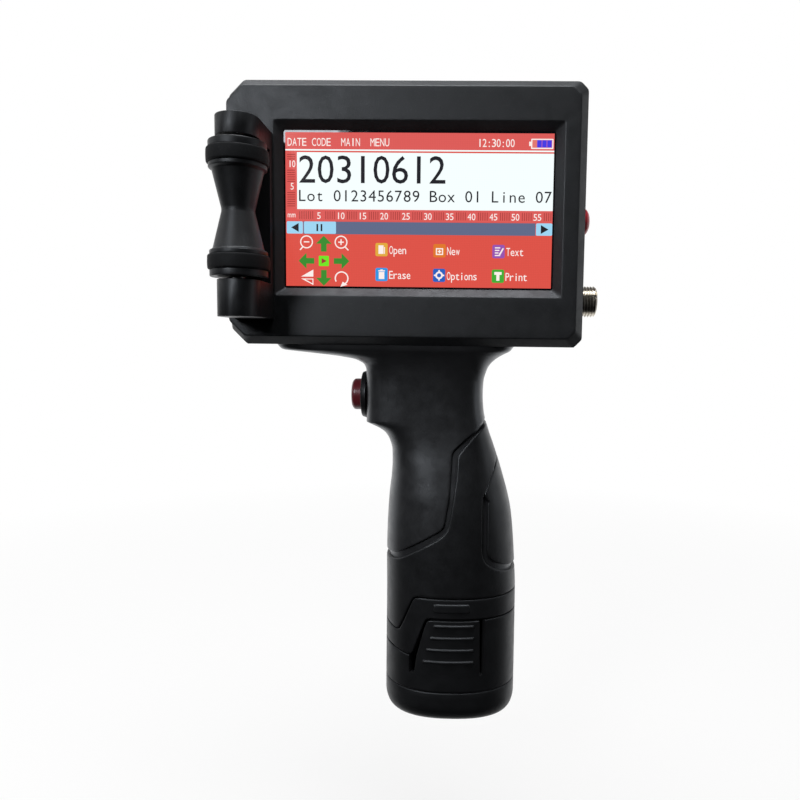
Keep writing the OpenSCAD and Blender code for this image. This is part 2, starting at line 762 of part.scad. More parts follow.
module release_tab(side) {
    color("#1f2022") {
        intersection() {
            tab_shell(side, 15.4);
            slab(-24, 24) tab_outline(0.6);
            below(collar_foot, [0, -0.6]);
        }
        // Four raised finger ribs
        intersection() {
            grip_body(-0.6, 60);
            for (i = [0 : 3]) translate([0, 0, 24.3 + 4.7 * i]) block([-10.4 + 1.33 * i, side < 0 ? -24 : 18, 0],
                [8.9, side < 0 ? -18 : 24, 1.25]);
        }
    }
}

module front_release() { release_tab(-1); }
module rear_release() { release_tab(1); }

front_cover();
rear_housing();
touch_glass();
display_module();
main_board();
cartridge_guide();
contact_board();
print_face_plate();
front_bracket();
front_bearings();
encoder_board();
encoder_cover();
rear_bracket();
rear_bearings();
rear_bracket_cover();
power_button_body();
power_button_nut();
sensor_connector();
sensor_connector_nut();
sensor_connector_insert();
usb_shell();
usb_tongue();
handle_front();
handle_rear();
grip_sleeve();
palm_pad();
handle_collar();
trigger_body();
trigger_nut();
terminal_block();
battery_blades();
power_wires();
trigger_wires();
housing_screws();
handle_screws();
bracket_screws();
neck_screws();
board_screws();
trigger_cap();
power_button_cap();
front_axle();
front_hub();
front_upper_ring();
front_lower_ring();
encoder_disc();
rear_axle();
rear_hub();
rear_upper_ring();
rear_lower_ring();
ink_cartridge();
nozzle_plate();
battery_shell();
battery_base();
battery_case();
battery_cells();
battery_board();
front_release();
rear_release();
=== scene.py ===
"""Handheld date code inkjet printer: the looks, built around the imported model.

Lengths are in millimetres until a mesh is made. +X is right, +Y away from the user and +Z up, with the origin under
the middle of the battery base.
"""

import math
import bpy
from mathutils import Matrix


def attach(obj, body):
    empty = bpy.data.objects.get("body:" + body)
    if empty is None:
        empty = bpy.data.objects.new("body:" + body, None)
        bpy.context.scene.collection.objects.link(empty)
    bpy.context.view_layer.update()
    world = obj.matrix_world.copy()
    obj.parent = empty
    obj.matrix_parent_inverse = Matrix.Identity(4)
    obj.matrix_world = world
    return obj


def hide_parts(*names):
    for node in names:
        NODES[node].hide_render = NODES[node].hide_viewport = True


bl_info = {
    "name": "Date Code Inkjet Printer",
    "version": (1, 0, 0),
    "blender": (4, 5, 0),
    "location": "3D View > Sidebar > Printer",
    "description": "Surfaces, finishes and studio for a handheld date code inkjet printer",
    "category": "Object",
}

import bmesh
import bpy
import numpy as np
from bpy.props import FloatProperty, FloatVectorProperty, PointerProperty
from mathutils import Matrix

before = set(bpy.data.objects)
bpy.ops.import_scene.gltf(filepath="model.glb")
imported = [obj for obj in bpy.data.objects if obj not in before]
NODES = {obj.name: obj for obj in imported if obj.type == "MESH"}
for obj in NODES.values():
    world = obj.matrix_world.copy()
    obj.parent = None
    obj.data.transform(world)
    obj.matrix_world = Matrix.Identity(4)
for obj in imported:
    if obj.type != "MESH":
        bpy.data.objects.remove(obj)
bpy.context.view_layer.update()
MM = 0.001

# ---- head, in millimetres ----
HEAD_LEFT, HEAD_RIGHT = -81.0, 46.0
HEAD_LOW, HEAD_TOP = 144.5, 237.5
FRONT = -24.0  # the head's front face
SEAM = -20.0  # depth of the joint between front cover and rear housing
LEFT_CHAMFER, RIGHT_CHAMFER = 5.5, 2.8
GLASS = -21.4  # front of the touch glass
SCREEN = (-13.3, 192.4)  # middle of the screen, x and z
SCREEN_W, SCREEN_H = 95.04, 53.86
OPENING = (102.04, 61.06)  # opening in the front face
SLOPE = 2.65  # how far the opening's sloped sides come in

# ---- rollers ----
ROLLER_X, ROLLER_Z, ROLLER_Y = -71.9, 188.3, 39.5
RING_R = 10.1
SEAT_R, LIP_R, WAIST_R = 8.2, 9.35, 5.4

# ---- controls ----
TRIGGER_Z, NECK_X = 125.0, -33.8
POWER_Z, CONNECTOR_Z = 192.7, 162.2

# ---- grip: height, left side, right side, half depth, squareness ----
SECTIONS = np.array([
    [0, -20.5, 21.3, 14.6, 2.5], [1.2, -23.6, 24.0, 17.3, 2.4], [3.4, -25.2, 25.3, 19.1, 2.35],
    [6.5, -25.9, 25.9, 20.0, 2.3], [12.9, -25.9, 25.9, 20.0, 2.3], [49, -25.8, 25.8, 20.0, 2.3],
    [60, -25.9, 25.2, 20.0, 2.3], [70, -25.8, 24.5, 19.9, 2.3], [80, -25.4, 23.4, 19.6, 2.3],
    [87, -24.9, 21.9, 19.1, 2.4], [93, -24.2, 20.2, 18.3, 2.5], [99, -23.8, 18.4, 17.4, 2.7],
    [104, -23.9, 16.7, 16.6, 2.9], [108, -24.9, 15.3, 16.1, 3.2], [111, -26.7, 14.2, 15.9, 3.5],
    [113.5, -30.4, 13.4, 15.8, 3.8], [115, -33.8, 12.9, 15.8, 4], [120, -33.8, 11.8, 15.8, 4],
    [126, -33.8, 11.4, 16.0, 4], [131, -33.8, 11.6, 16.4, 4], [135, -33.8, 12.6, 17.0, 4.3],
    [137, -34.4, 13.5, 17.5, 4.6], [139, -37.6, 15.2, 18.2, 5], [140.3, -44.4, 16.8, 18.8, 5.5],
    [141.6, -56.4, 19.0, 19.6, 6], [142.6, -65.0, 21.0, 20.3, 6], [144.5, -67.0, 22.6, 20.8, 6],
])
BASE_TOP = 12.9
SKIN = 1.2  # thickness of the soft pieces on the grip
GRIP_FOOT = [[-40, 37.8], [-24.6, 36], [-20.2, 34.6], [-14.1, 49.5], [40, 49.5]]
COLLAR_FOOT = [[-40, 29.6], [-24, 28], [-14.7, 26.2], [-9.2, 41.6], [40, 41.4]]
SLEEVE_EDGE = [[-40, 63.4], [-24.2, 64.2], [-21.2, 65.2], [-13.6, 69.8], [-3.1, 76.2], [-1.1, 88.5], [-0.3, 104],
               [0.5, 105.5], [12.1, 116.2], [40, 141.9]]
PALM_EDGE = [[40, 55.6], [24.4, 57.8], [21.1, 58.5], [16.3, 60.5], [13, 63], [11.6, 66.5], [11.5, 87], [14.6, 94.8],
             [17.4, 101.5], [40, 155]]
TAB_LEFT, TAB_RIGHT, TAB_FOOT = -15.7, 13.2, 19.5  # sides and foot of the release tab's hole

# ---- studio: radius and thickness of the floor in millimetres, and what the lights face in metres ----
FLOOR_R, FLOOR_T = 3000, 8
MIDDLE = (-0.02, 0, 0.15)


# ======================================================================================================================
# Shapes: each is (points, faces), with points as an n x 3 array and faces as a list of index arrays
# ======================================================================================================================

def grid(rows, columns, wrap_rows=False, wrap_columns=False):
    """Quads between neighbours on a rows x columns net of points, closed round where asked."""
    i, j = np.meshgrid(np.arange(rows if wrap_rows else rows - 1),
                       np.arange(columns if wrap_columns else columns - 1), indexing="ij")
    up, along = (i + 1) % rows, (j + 1) % columns
    corners = [i * columns + j, up * columns + j, up * columns + along, i * columns + along]
    return np.stack(corners, -1).reshape(-1, 4)


def join(*shapes):
    """Several shapes as one, each shape's indices moved past the points before it."""
    start = np.cumsum([0] + [len(s[0]) for s in shapes])
    return np.concatenate([s[0] for s in shapes]), [f + k for k, s in zip(start, shapes) for f in s[1]]


def rounded(points, radius, steps=6, closed=True):
    """An outline whose corner P becomes the curve (1-s)^2 A + 2s(1-s) P + s^2 C, with A and C radius away from P."""
    p = np.asarray(points, float)
    r = np.broadcast_to(np.asarray(radius, float), len(p)).copy()
    if not closed:
        r[0] = r[-1] = 0
    before, after = np.roll(p, 1, 0) - p, np.roll(p, -1, 0) - p
    lb = np.linalg.norm(before, axis=1) + 1e-9
    la = np.linalg.norm(after, axis=1) + 1e-9
    a = p + before * (np.minimum(r, lb * 0.49) / lb)[:, None]
    c = p + after * (np.minimum(r, la * 0.49) / la)[:, None]
    s = np.linspace(0, 1, steps)[:, None, None]
    curve = ((1 - s) ** 2 * a + 2 * s * (1 - s) * p + s ** 2 * c).transpose(1, 0, 2).reshape(-1, 2)
    step = np.linalg.norm(curve - np.roll(curve, 1, 0), axis=1)
    return curve[step > 1e-6] if closed else curve[np.concatenate([[True], step[1:] > 1e-6])]


def lathe(profile, axis, centre, turns=96, loop=False):
    """A profile of (radius, distance along the axis) turned about an axis through centre: closed at radius 0, or a
    closed loop."""
    p = np.asarray(profile, float)
    angle = np.linspace(0, 2 * math.pi, turns, endpoint=False)[:, None]
    u, v, w = p[:, 0] * np.cos(angle), p[:, 0] * np.sin(angle), np.broadcast_to(p[:, 1], (turns, len(p)))
    order = {"x": (w, u, v), "y": (v, w, u), "z": (u, v, w)}[axis]
    return np.stack(order, -1).reshape(-1, 3) + np.asarray(centre, float), [grid(turns, len(p), True, loop)]


def spread(plane, flat, height):
    """Flat points put in the plane xz, xy or yz at a height along the third axis."""
    a, b, h = flat[..., 0], flat[..., 1], np.broadcast_to(height, flat.shape[:-1])
    return np.stack({"xz": (a, h, b), "xy": (a, b, h), "yz": (h, a, b)}[plane], -1)


def inset(outline, d):
    """A closed outline moved in by d along the normals at its points."""
    p = np.asarray(outline, float)
    e = np.roll(p, -1, 0) - p
    e /= np.linalg.norm(e, axis=1)[:, None]
    n = np.stack([-e[:, 1], e[:, 0]], 1)
    m = n + np.roll(n, 1, 0)
    m /= np.maximum((m * n).sum(1), 0.4)[:, None]
    turn = np.sign(np.sum(p[:, 0] * np.roll(p[:, 1], -1) - np.roll(p[:, 0], -1) * p[:, 1]))
    return p + m * d * turn


def prism(outline, low, high, edge=0.0, plane="xz"):
    """An outline carried from low to high; at both ends it draws in along a quarter circle of radius edge."""
    if edge:
        q = np.linspace(0, math.pi / 2, 5)
        depth = np.concatenate([edge * (1 - np.sin(q)), edge * (1 - np.sin(q[::-1]))])
        level = np.concatenate([low + edge * (1 - np.cos(q)), high - edge * (1 - np.cos(q[::-1]))])
    else:
        depth, level = np.zeros(2), np.array([low, high], float)
    rings = np.stack([spread(plane, inset(outline, d), h) for d, h in zip(depth, level)])
    n = len(outline)
    return rings.reshape(-1, 3), [grid(len(level), n, False, True), np.arange(n)[None],
                                  (np.arange(n) + (len(level) - 1) * n)[None]]


def rectangle(x0, z0, x1, z1):
    """The four corners of a rectangle."""
    return np.array([[x0, z0], [x1, z0], [x1, z1], [x0, z1]], float)


def disc(x, z, r, steps=48):
    """A circle's points."""
    a = np.linspace(0, 2 * math.pi, steps, endpoint=False)
    return np.stack([x + r * np.cos(a), z + r * np.sin(a)], 1)


def on_rays(outline, centre, angles):
    """Where rays from centre cross an outline that is seen whole from there: p + s e, with s from the cross products
    of the ray with the edge e and with its first point p."""
    p = np.asarray(outline, float) - centre
    a = np.arctan2(p[:, 1], p[:, 0])
    order = np.argsort(a)
    p, a = p[order], a[order]
    i = (np.searchsorted(a, angles, side="right") - 1) % len(a)
    first, e = p[i], (np.roll(p, -1, 0) - p)[i]
    ray = np.stack([np.cos(angles), np.sin(angles)], 1)
    cross = lambda u, v: u[:, 0] * v[:, 1] - u[:, 1] * v[:, 0]
    s = -cross(ray, first) / cross(ray, e)
    return centre + first + s[:, None] * e


def tunnel(loops, centre, closed=True):
    """A surface through outlines at given depths, each met by the same rays from centre."""
    angles = np.concatenate([np.arctan2(o[:, 1] - centre[1], o[:, 0] - centre[0]) for o, _ in loops]
                            + [np.linspace(-math.pi, math.pi, 97)])
    angles = np.unique(np.round(angles, 5))
    angles = angles[(angles > -math.pi + 1e-4)]
    rings = np.stack([spread("xz", on_rays(o, centre, angles), y) for o, y in loops])
    return rings.reshape(-1, 3), [grid(len(loops), len(angles), closed, True)]


def head_outline(d=0.0, left=None, corner=1.0):
    """The head's outline with chamfered corners, drawn in by d and on its left side by left."""
    l = HEAD_LEFT + (d if left is None else left)
    r, b, t = HEAD_RIGHT - d, HEAD_LOW + d, HEAD_TOP - d
    cl, cr = LEFT_CHAMFER, RIGHT_CHAMFER
    return rounded([[l + cl, b], [r - cr, b], [r, b + cr], [r, t - cr], [r - cr, t], [l + cl, t], [l, t - cl],
                    [l, b + cl]], corner)


def window(w, h, corner=0.4, middle=SCREEN):
    """A rectangle of the given size round the middle of the screen."""
    x, z = middle
    return rounded(rectangle(x - w / 2, z - h / 2, x + w / 2, z + h / 2), corner)


# ---- the grip's skin ----

def monotone(x, xs, ys):
    """Smooth curve through a table that never overshoots: cubic pieces whose slope at a point is the harmonic mean of
    the slopes beside it, or 0 at a peak."""
    h = np.diff(xs)
    d = np.diff(ys) / h
    m = np.concatenate([[d[0]], np.zeros(len(d) - 1), [d[-1]]])
    same = d[:-1] * d[1:] > 1e-12
    w1, w2 = 2 * h[1:] + h[:-1], h[1:] + 2 * h[:-1]
    with np.errstate(divide="ignore", invalid="ignore"):
        m[1:-1] = np.where(same, (w1 + w2) / (w1 / d[:-1] + w2 / d[1:]), 0)
    i = np.clip(np.searchsorted(xs, x, side="right") - 1, 0, len(h) - 1)
    t = np.clip((x - xs[i]) / h[i], 0, 1)
    return ((2 * t ** 3 - 3 * t ** 2 + 1) * ys[i] + (t ** 3 - 2 * t ** 2 + t) * h[i] * m[i]
            + (3 * t ** 2 - 2 * t ** 3) * ys[i + 1] + (t ** 3 - t ** 2) * h[i] * m[i + 1])


def grip_point(t, z, depth=0.0):
    """The grip's skin: at height z a superellipse |x/a|^k + |y/b|^k = 1 about the section's middle, drawn in by depth,
    at the angle t, where x = a c / q and y = b s / q with q = (|c|^k + |s|^k)^(1/k)."""
    left, right, half, k = (monotone(z, SECTIONS[:, 0], SECTIONS[:, i]) for i in (1, 2, 3, 4))
    c, s = np.cos(t), np.sin(t)
    q = (np.abs(c) ** k + np.abs(s) ** k) ** (1 / k)
    return np.stack([(left + right) / 2 + ((right - left) / 2 - depth) * c / q, (half - depth) * s / q,
                     z + 0 * t], -1)


def beside(seam, x, z, by="x", corner=2.0):
    """Signed distance from a seam in the x z plane: positive above it, or to its right when by is z."""
    p = rounded(seam, corner, 5, closed=False)
    a, ab = p[:-1], np.diff(p, axis=0)
    q = np.stack([x, z], -1)[:, None, :] - a
    t = np.clip((q * ab).sum(-1) / (ab * ab).sum(-1), 0, 1)
    d = np.linalg.norm(q - t[..., None] * ab, axis=-1).min(1)
    side = z - np.interp(x, p[:, 0], p[:, 1]) if by == "x" else x - np.interp(z, p[:, 1], p[:, 0])
    return np.where(side > 0, d, -d)


def within(polygon, x, z):
    """How far inside a convex outline, given anticlockwise, a point lies: the least distance to its sides."""
    p = np.asarray(polygon, float)
    e = np.roll(p, -1, 0) - p
    n = np.stack([-e[:, 1], e[:, 0]], 1) / np.linalg.norm(e, axis=1)[:, None]
    return ((np.stack([x, z], -1)[:, None, :] - p) * n).sum(-1).min(1)


def edge(radius, gap=0.0, before=()):
    """Distances from a seam and how deep the skin lies there: a quarter circle of the radius, starting gap away."""
    f = np.array([0, 0.06, 0.24, 0.56, 1.0])
    levels, depths = gap + radius * f, radius * (1 - np.sqrt(1 - (1 - f) ** 2))
    if before:
        levels, depths = np.concatenate([[before[0]], levels]), np.concatenate([[before[1]], depths])
    return levels, depths


def split_at(data, tris, column, level):
    """Cuts the triangles where data's column crosses a level, with new points in a straight line between old ones."""
    s = data[:, column] - level
    s[np.abs(s) < 1e-5] = 0
    sign = np.sign(s).astype(int)
    ts = sign[tris]
    mixed = (ts.max(1) > 0) & (ts.min(1) < 0)
    keep, cut, cs = tris[~mixed], tris[mixed], ts[mixed]
    if not len(cut):
        return data, tris
    zero = (cs == 0).any(1)
    lone = np.where(zero, np.argmax(cs == 0, 1), np.argmax(cs == -np.sign(cs.sum(1))[:, None], 1))
    turn = (lone[:, None] + np.arange(3)) % 3
    a, b, c = np.take_along_axis(cut, turn, 1).T
    n = len(data)
    pairs = np.concatenate([np.stack([b[zero], c[zero]], 1), np.stack([a[~zero], b[~zero]], 1),
                            np.stack([a[~zero], c[~zero]], 1)])
    pairs.sort(axis=1)
    unique, back = np.unique(pairs[:, 0] * n + pairs[:, 1], return_inverse=True)
    i, j = unique // n, unique % n
    share = (s[i] / (s[i] - s[j]))[:, None]
    fresh = data[i] + share * (data[j] - data[i])
    fresh[:, column] = level
    back = back.ravel() + n
    k, m = zero.sum(), (~zero).sum()
    d0, d1, d2 = back[:k], back[k:k + m], back[k + m:]
    az, bz, cz, al, bl, cl = a[zero], b[zero], c[zero], a[~zero], b[~zero], c[~zero]
    parts = [(az, bz, d0), (az, d0, cz), (al, d1, d2), (d1, bl, cl), (d1, cl, d2)]
    return np.concatenate([data, fresh]), np.concatenate([keep] + [np.stack(p, 1) for p in parts])


def skin_piece(t, z, fields, inner):
    """A shell on the grip's skin. Each field is (distance function of x, y, z, levels, depths, trims): the net is cut
    along the levels, what lies before the first level of a trimming field is left out, and the skin lies as deep as
    the deepest field says, or stands proud where a depth is negative. The inner wall is the skin drawn in by inner,
    and a rim joins the two."""
    tt, zz = (m.ravel() for m in np.meshgrid(t, z, indexing="ij"))
    x, y, _ = grip_point(tt, zz).T
    data = np.stack([tt, zz] + [f[0](x, y, zz) for f in fields], 1)
    quads = grid(len(t), len(z))
    tris = np.concatenate([quads[:, [0, 1, 2]], quads[:, [0, 2, 3]]])
    for k, (_, levels, _, trims) in enumerate(fields, 2):
        for level in levels:
            data, tris = split_at(data, tris, k, level)
        if trims:
            tris = tris[(data[tris, k] >= levels[0] - 1e-6).all(1)]
    used, tris = np.unique(tris, return_inverse=True)
    data, tris = data[used], tris.reshape(-1, 3)
    drops = np.array([np.interp(data[:, k], f[1], f[2]) for k, f in enumerate(fields, 2)])
    depth = np.maximum(drops, 0).max(0) + np.minimum(drops, 0).min(0)
    outer, within_ = (grip_point(data[:, 0], data[:, 1], d) for d in (depth, np.maximum(depth + 0.05, inner)))
    _, first, same = np.unique(np.round(outer, 4), axis=0, return_index=True, return_inverse=True)
    tris = same.ravel()[tris]
    tris = tris[(tris[:, 0] != tris[:, 1]) & (tris[:, 1] != tris[:, 2]) & (tris[:, 2] != tris[:, 0])]
    outer, within_ = outer[first], within_[first]
    n = len(outer)
    sides = np.concatenate([tris[:, [0, 1]], tris[:, [1, 2]], tris[:, [2, 0]]])
    a, b = sides[~np.isin(sides[:, 0] * n + sides[:, 1], sides[:, 1] * n + sides[:, 0])].T
    return np.concatenate([outer, within_]), [tris, tris[:, ::-1] + n, np.stack([b, a, a + n, b + n], 1)]


def net(low, high, fine=1.0):
    """Heights from low to high, closer together where the neck spreads under the head."""
    z = np.arange(low, high, fine)
    z = z[z < 134]
    top = np.arange(134, high, 0.3) if high > 134 else []
    return np.unique(np.concatenate([z, top, [high]]))


FULL = np.linspace(-math.pi, math.pi, 181)
NEAR = np.linspace(-math.pi, 0, 91)
FAR = np.linspace(0, math.pi, 91)


# ======================================================================================================================
# Pieces
# ======================================================================================================================

def make_mesh(name, shape, smooth_below=38):
    """A mesh from a shape in millimetres: doubles merged, faces turned outward, smooth except at sharp edges."""
    points, faces = shape
    loops = np.concatenate([f.ravel() for f in faces]).astype(np.int32)
    sizes = np.concatenate([np.full(len(f), f.shape[1]) for f in faces])
    starts = np.concatenate([[0], np.cumsum(sizes)[:-1]]).astype(np.int32)
    mesh = bpy.data.meshes.new(name)
    mesh.vertices.add(len(points))
    mesh.vertices.foreach_set("co", (points * MM).astype(np.float32).ravel())
    mesh.loops.add(len(loops))
    mesh.loops.foreach_set("vertex_index", loops)
    mesh.polygons.add(len(starts))
    mesh.polygons.foreach_set("loop_start", starts)
    mesh.update(calc_edges=True)
    b = bmesh.new()
    b.from_mesh(mesh)
    bmesh.ops.remove_doubles(b, verts=b.verts, dist=2e-6)
    bmesh.ops.recalc_face_normals(b, faces=b.faces)
    b.to_mesh(mesh)
    b.free()
    mesh.shade_smooth()
    mesh.set_sharp_from_angle(angle=math.radians(smooth_below))
    return mesh


def piece(name, shape, look, body, stands_for=(), smooth_below=38):
    """Adds a finished piece to the scene, on its body, with its material."""
    obj = bpy.data.objects.new(name, make_mesh(name, shape, smooth_below))
    bpy.context.scene.collection.objects.link(obj)
    obj.data.materials.append(material(look))
    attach(obj, body)
    if stands_for:
        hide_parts(*stands_for)
    return obj


def keep_node(node, look, width=0.25, segments=2):
    """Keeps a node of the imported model: its loose triangles are merged, and its edges get a small round."""
    obj = NODES[node]
    obj.data.materials.clear()
    obj.data.materials.append(material(look))
    if width:
        weld = obj.modifiers.new("weld", "WELD")
        weld.merge_threshold = 2e-6
        flat = obj.modifiers.new("flat", "DECIMATE")
        flat.decimate_type = "DISSOLVE"
        flat.angle_limit = math.radians(0.4)
        bevel = obj.modifiers.new("bevel", "BEVEL")
        bevel.width = width * MM
        bevel.segments = segments
        bevel.limit_method = "ANGLE"
        bevel.angle_limit = math.radians(32)
        bevel.harden_normals = True
    return obj


# ======================================================================================================================
# Finishes
# ======================================================================================================================

def srgb(r, g, b):
    """A screen colour, 0 to 255, as linear light."""
    c = np.array([r, g, b]) / 255
    return tuple(float(v) for v in np.where(c <= 0.04045, c / 12.92, ((c + 0.055) / 1.055) ** 2.4))


def start_material(name):
    """An empty node material with its shader and the object's coordinates."""
    mat = bpy.data.materials.new(name)
    mat.use_nodes = True
    nodes = mat.node_tree.nodes
    return mat, nodes, mat.node_tree.links, nodes["Principled BSDF"], nodes.new("ShaderNodeTexCoord").outputs["Object"]


def noise(nodes, links, vector, size, detail=2.0, rough=0.5, stretch=None):
    """Noise whose features are size millimetres across, stretched along an axis where asked."""
    if stretch:
        mapping = nodes.new("ShaderNodeMapping")
        mapping.inputs["Scale"].default_value = stretch
        links.new(vector, mapping.inputs["Vector"])
        vector = mapping.outputs["Vector"]
    tex = nodes.new("ShaderNodeTexNoise")
    tex.inputs["Scale"].default_value = 1 / (size * MM)
    tex.inputs["Detail"].default_value = detail
    tex.inputs["Roughness"].default_value = rough
    links.new(vector, tex.inputs["Vector"])
    return tex.outputs["Fac"]


def spread_value(nodes, links, value, low, high, start=0.3, end=0.7):
    """Maps noise onto a range."""
    m = nodes.new("ShaderNodeMapRange")
    for key, v in (("From Min", start), ("From Max", end), ("To Min", low), ("To Max", high)):
        m.inputs[key].default_value = v
    links.new(value, m.inputs["Value"])
    return m.outputs["Result"]


def two_tone(nodes, links, value, dark, light):
    """A colour between two, by a value from 0 to 1."""
    mix = nodes.new("ShaderNodeMix")
    mix.data_type = "RGBA"
    mix.inputs["A"].default_value = (*dark, 1)
    mix.inputs["B"].default_value = (*light, 1)
    links.new(value, mix.inputs["Factor"])
    return mix.outputs["Result"]


def bump(nodes, links, heights, bsdf, strength=1.0):
    """Relief from (height, depth in millimetres) pairs, the coarsest first."""
    normal = None
    for value, depth in heights:
        b = nodes.new("ShaderNodeBump")
        b.inputs["Strength"].default_value = strength
        b.inputs["Distance"].default_value = depth * MM
        links.new(value, b.inputs["Height"])
        if normal:
            links.new(normal, b.inputs["Normal"])
        normal = b.outputs["Normal"]
    links.new(normal, bsdf.inputs["Normal"])


def moulded(name, colour, rough, grain=0.3, depth=0.012, patch=0.10, coat=0.0, specular=0.5, dust=0.0):
    """Moulded plastic: spark-eroded grain, soft patches of shade and gloss, and a little dust where asked."""
    mat, nodes, links, bsdf, at = start_material(name)
    colour = np.array(colour[:3])
    patches = spread_value(nodes, links, noise(nodes, links, at, 14, 4, 0.6), 0, 1)
    tone = two_tone(nodes, links, patches, tuple(colour * (1 - patch)), tuple(colour * (1 + patch)))
    fine = noise(nodes, links, at, grain, 3, 0.62)
    if dust:
        specks = spread_value(nodes, links, noise(nodes, links, at, 0.55, 2, 0.5), 0, dust, 0.62, 0.78)
        mix = nodes.new("ShaderNodeMix")
        mix.data_type = "RGBA"
        mix.inputs["B"].default_value = (0.22, 0.22, 0.215, 1)
        links.new(tone, mix.inputs["A"])
        links.new(specks, mix.inputs["Factor"])
        tone = mix.outputs["Result"]
    links.new(tone, bsdf.inputs["Base Color"])
    links.new(spread_value(nodes, links, noise(nodes, links, at, 5, 5, 0.65), rough - 0.06, rough + 0.08),
              bsdf.inputs["Roughness"])
    bsdf.inputs["Specular IOR Level"].default_value = specular
    bsdf.inputs["Specular Tint"].default_value = (0.86, 0.92, 1.0, 1)
    if coat:
        bsdf.inputs["Coat Weight"].default_value = coat
        bsdf.inputs["Coat Roughness"].default_value = 0.12
    bump(nodes, links, [(noise(nodes, links, at, 9, 2), depth * 1.5), (fine, depth)], bsdf)
    return mat


def metal(name, colour, rough, stretch=(1, 1, 12), scratch=0.004):
    """Metal with a fine grain drawn out along one axis and faint stains."""
    mat, nodes, links, bsdf, at = start_material(name)
    colour = np.array(colour[:3])
    stains = spread_value(nodes, links, noise(nodes, links, at, 3, 4, 0.6), 0, 1)
    links.new(two_tone(nodes, links, stains, tuple(colour * 0.86), tuple(colour)), bsdf.inputs["Base Color"])
    grain = noise(nodes, links, at, 0.5, 3, 0.6, stretch)
    links.new(spread_value(nodes, links, grain, rough - 0.07, rough + 0.1), bsdf.inputs["Roughness"])
    bsdf.inputs["Metallic"].default_value = 1.0
    bump(nodes, links, [(grain, scratch)], bsdf)
    return mat


def lit(name, colour, strength=1.0, stripes=0.05):
    """A lit part of the display: light in the colour, with the panel's faint columns and rows, under a glossy face."""
    mat, nodes, links, bsdf, at = start_material(name)
    waves = []
    for axis in ("X", "Z"):
        w = nodes.new("ShaderNodeTexWave")
        w.wave_type, w.bands_direction = "BANDS", axis
        w.inputs["Scale"].default_value = 1 / (0.66 * MM) / 3
        w.inputs["Distortion"].default_value = 0
        links.new(at, w.inputs["Vector"])
        waves.append(w.outputs["Fac"])
    both = nodes.new("ShaderNodeMath")
    both.operation = "ADD"
    links.new(waves[0], both.inputs[0])
    links.new(waves[1], both.inputs[1])
    colour = np.array(colour[:3])
    value = spread_value(nodes, links, both.outputs[0], 0, 1, 0, 2)
    links.new(two_tone(nodes, links, value, tuple(colour * (1 - stripes)), tuple(colour * (1 + stripes))),
              bsdf.inputs["Emission Color"])
    bsdf.inputs["Emission Strength"].default_value = strength
    bsdf.inputs["Base Color"].default_value = (0.01, 0.01, 0.012, 1)
    bsdf.inputs["Roughness"].default_value = 0.12
    return mat


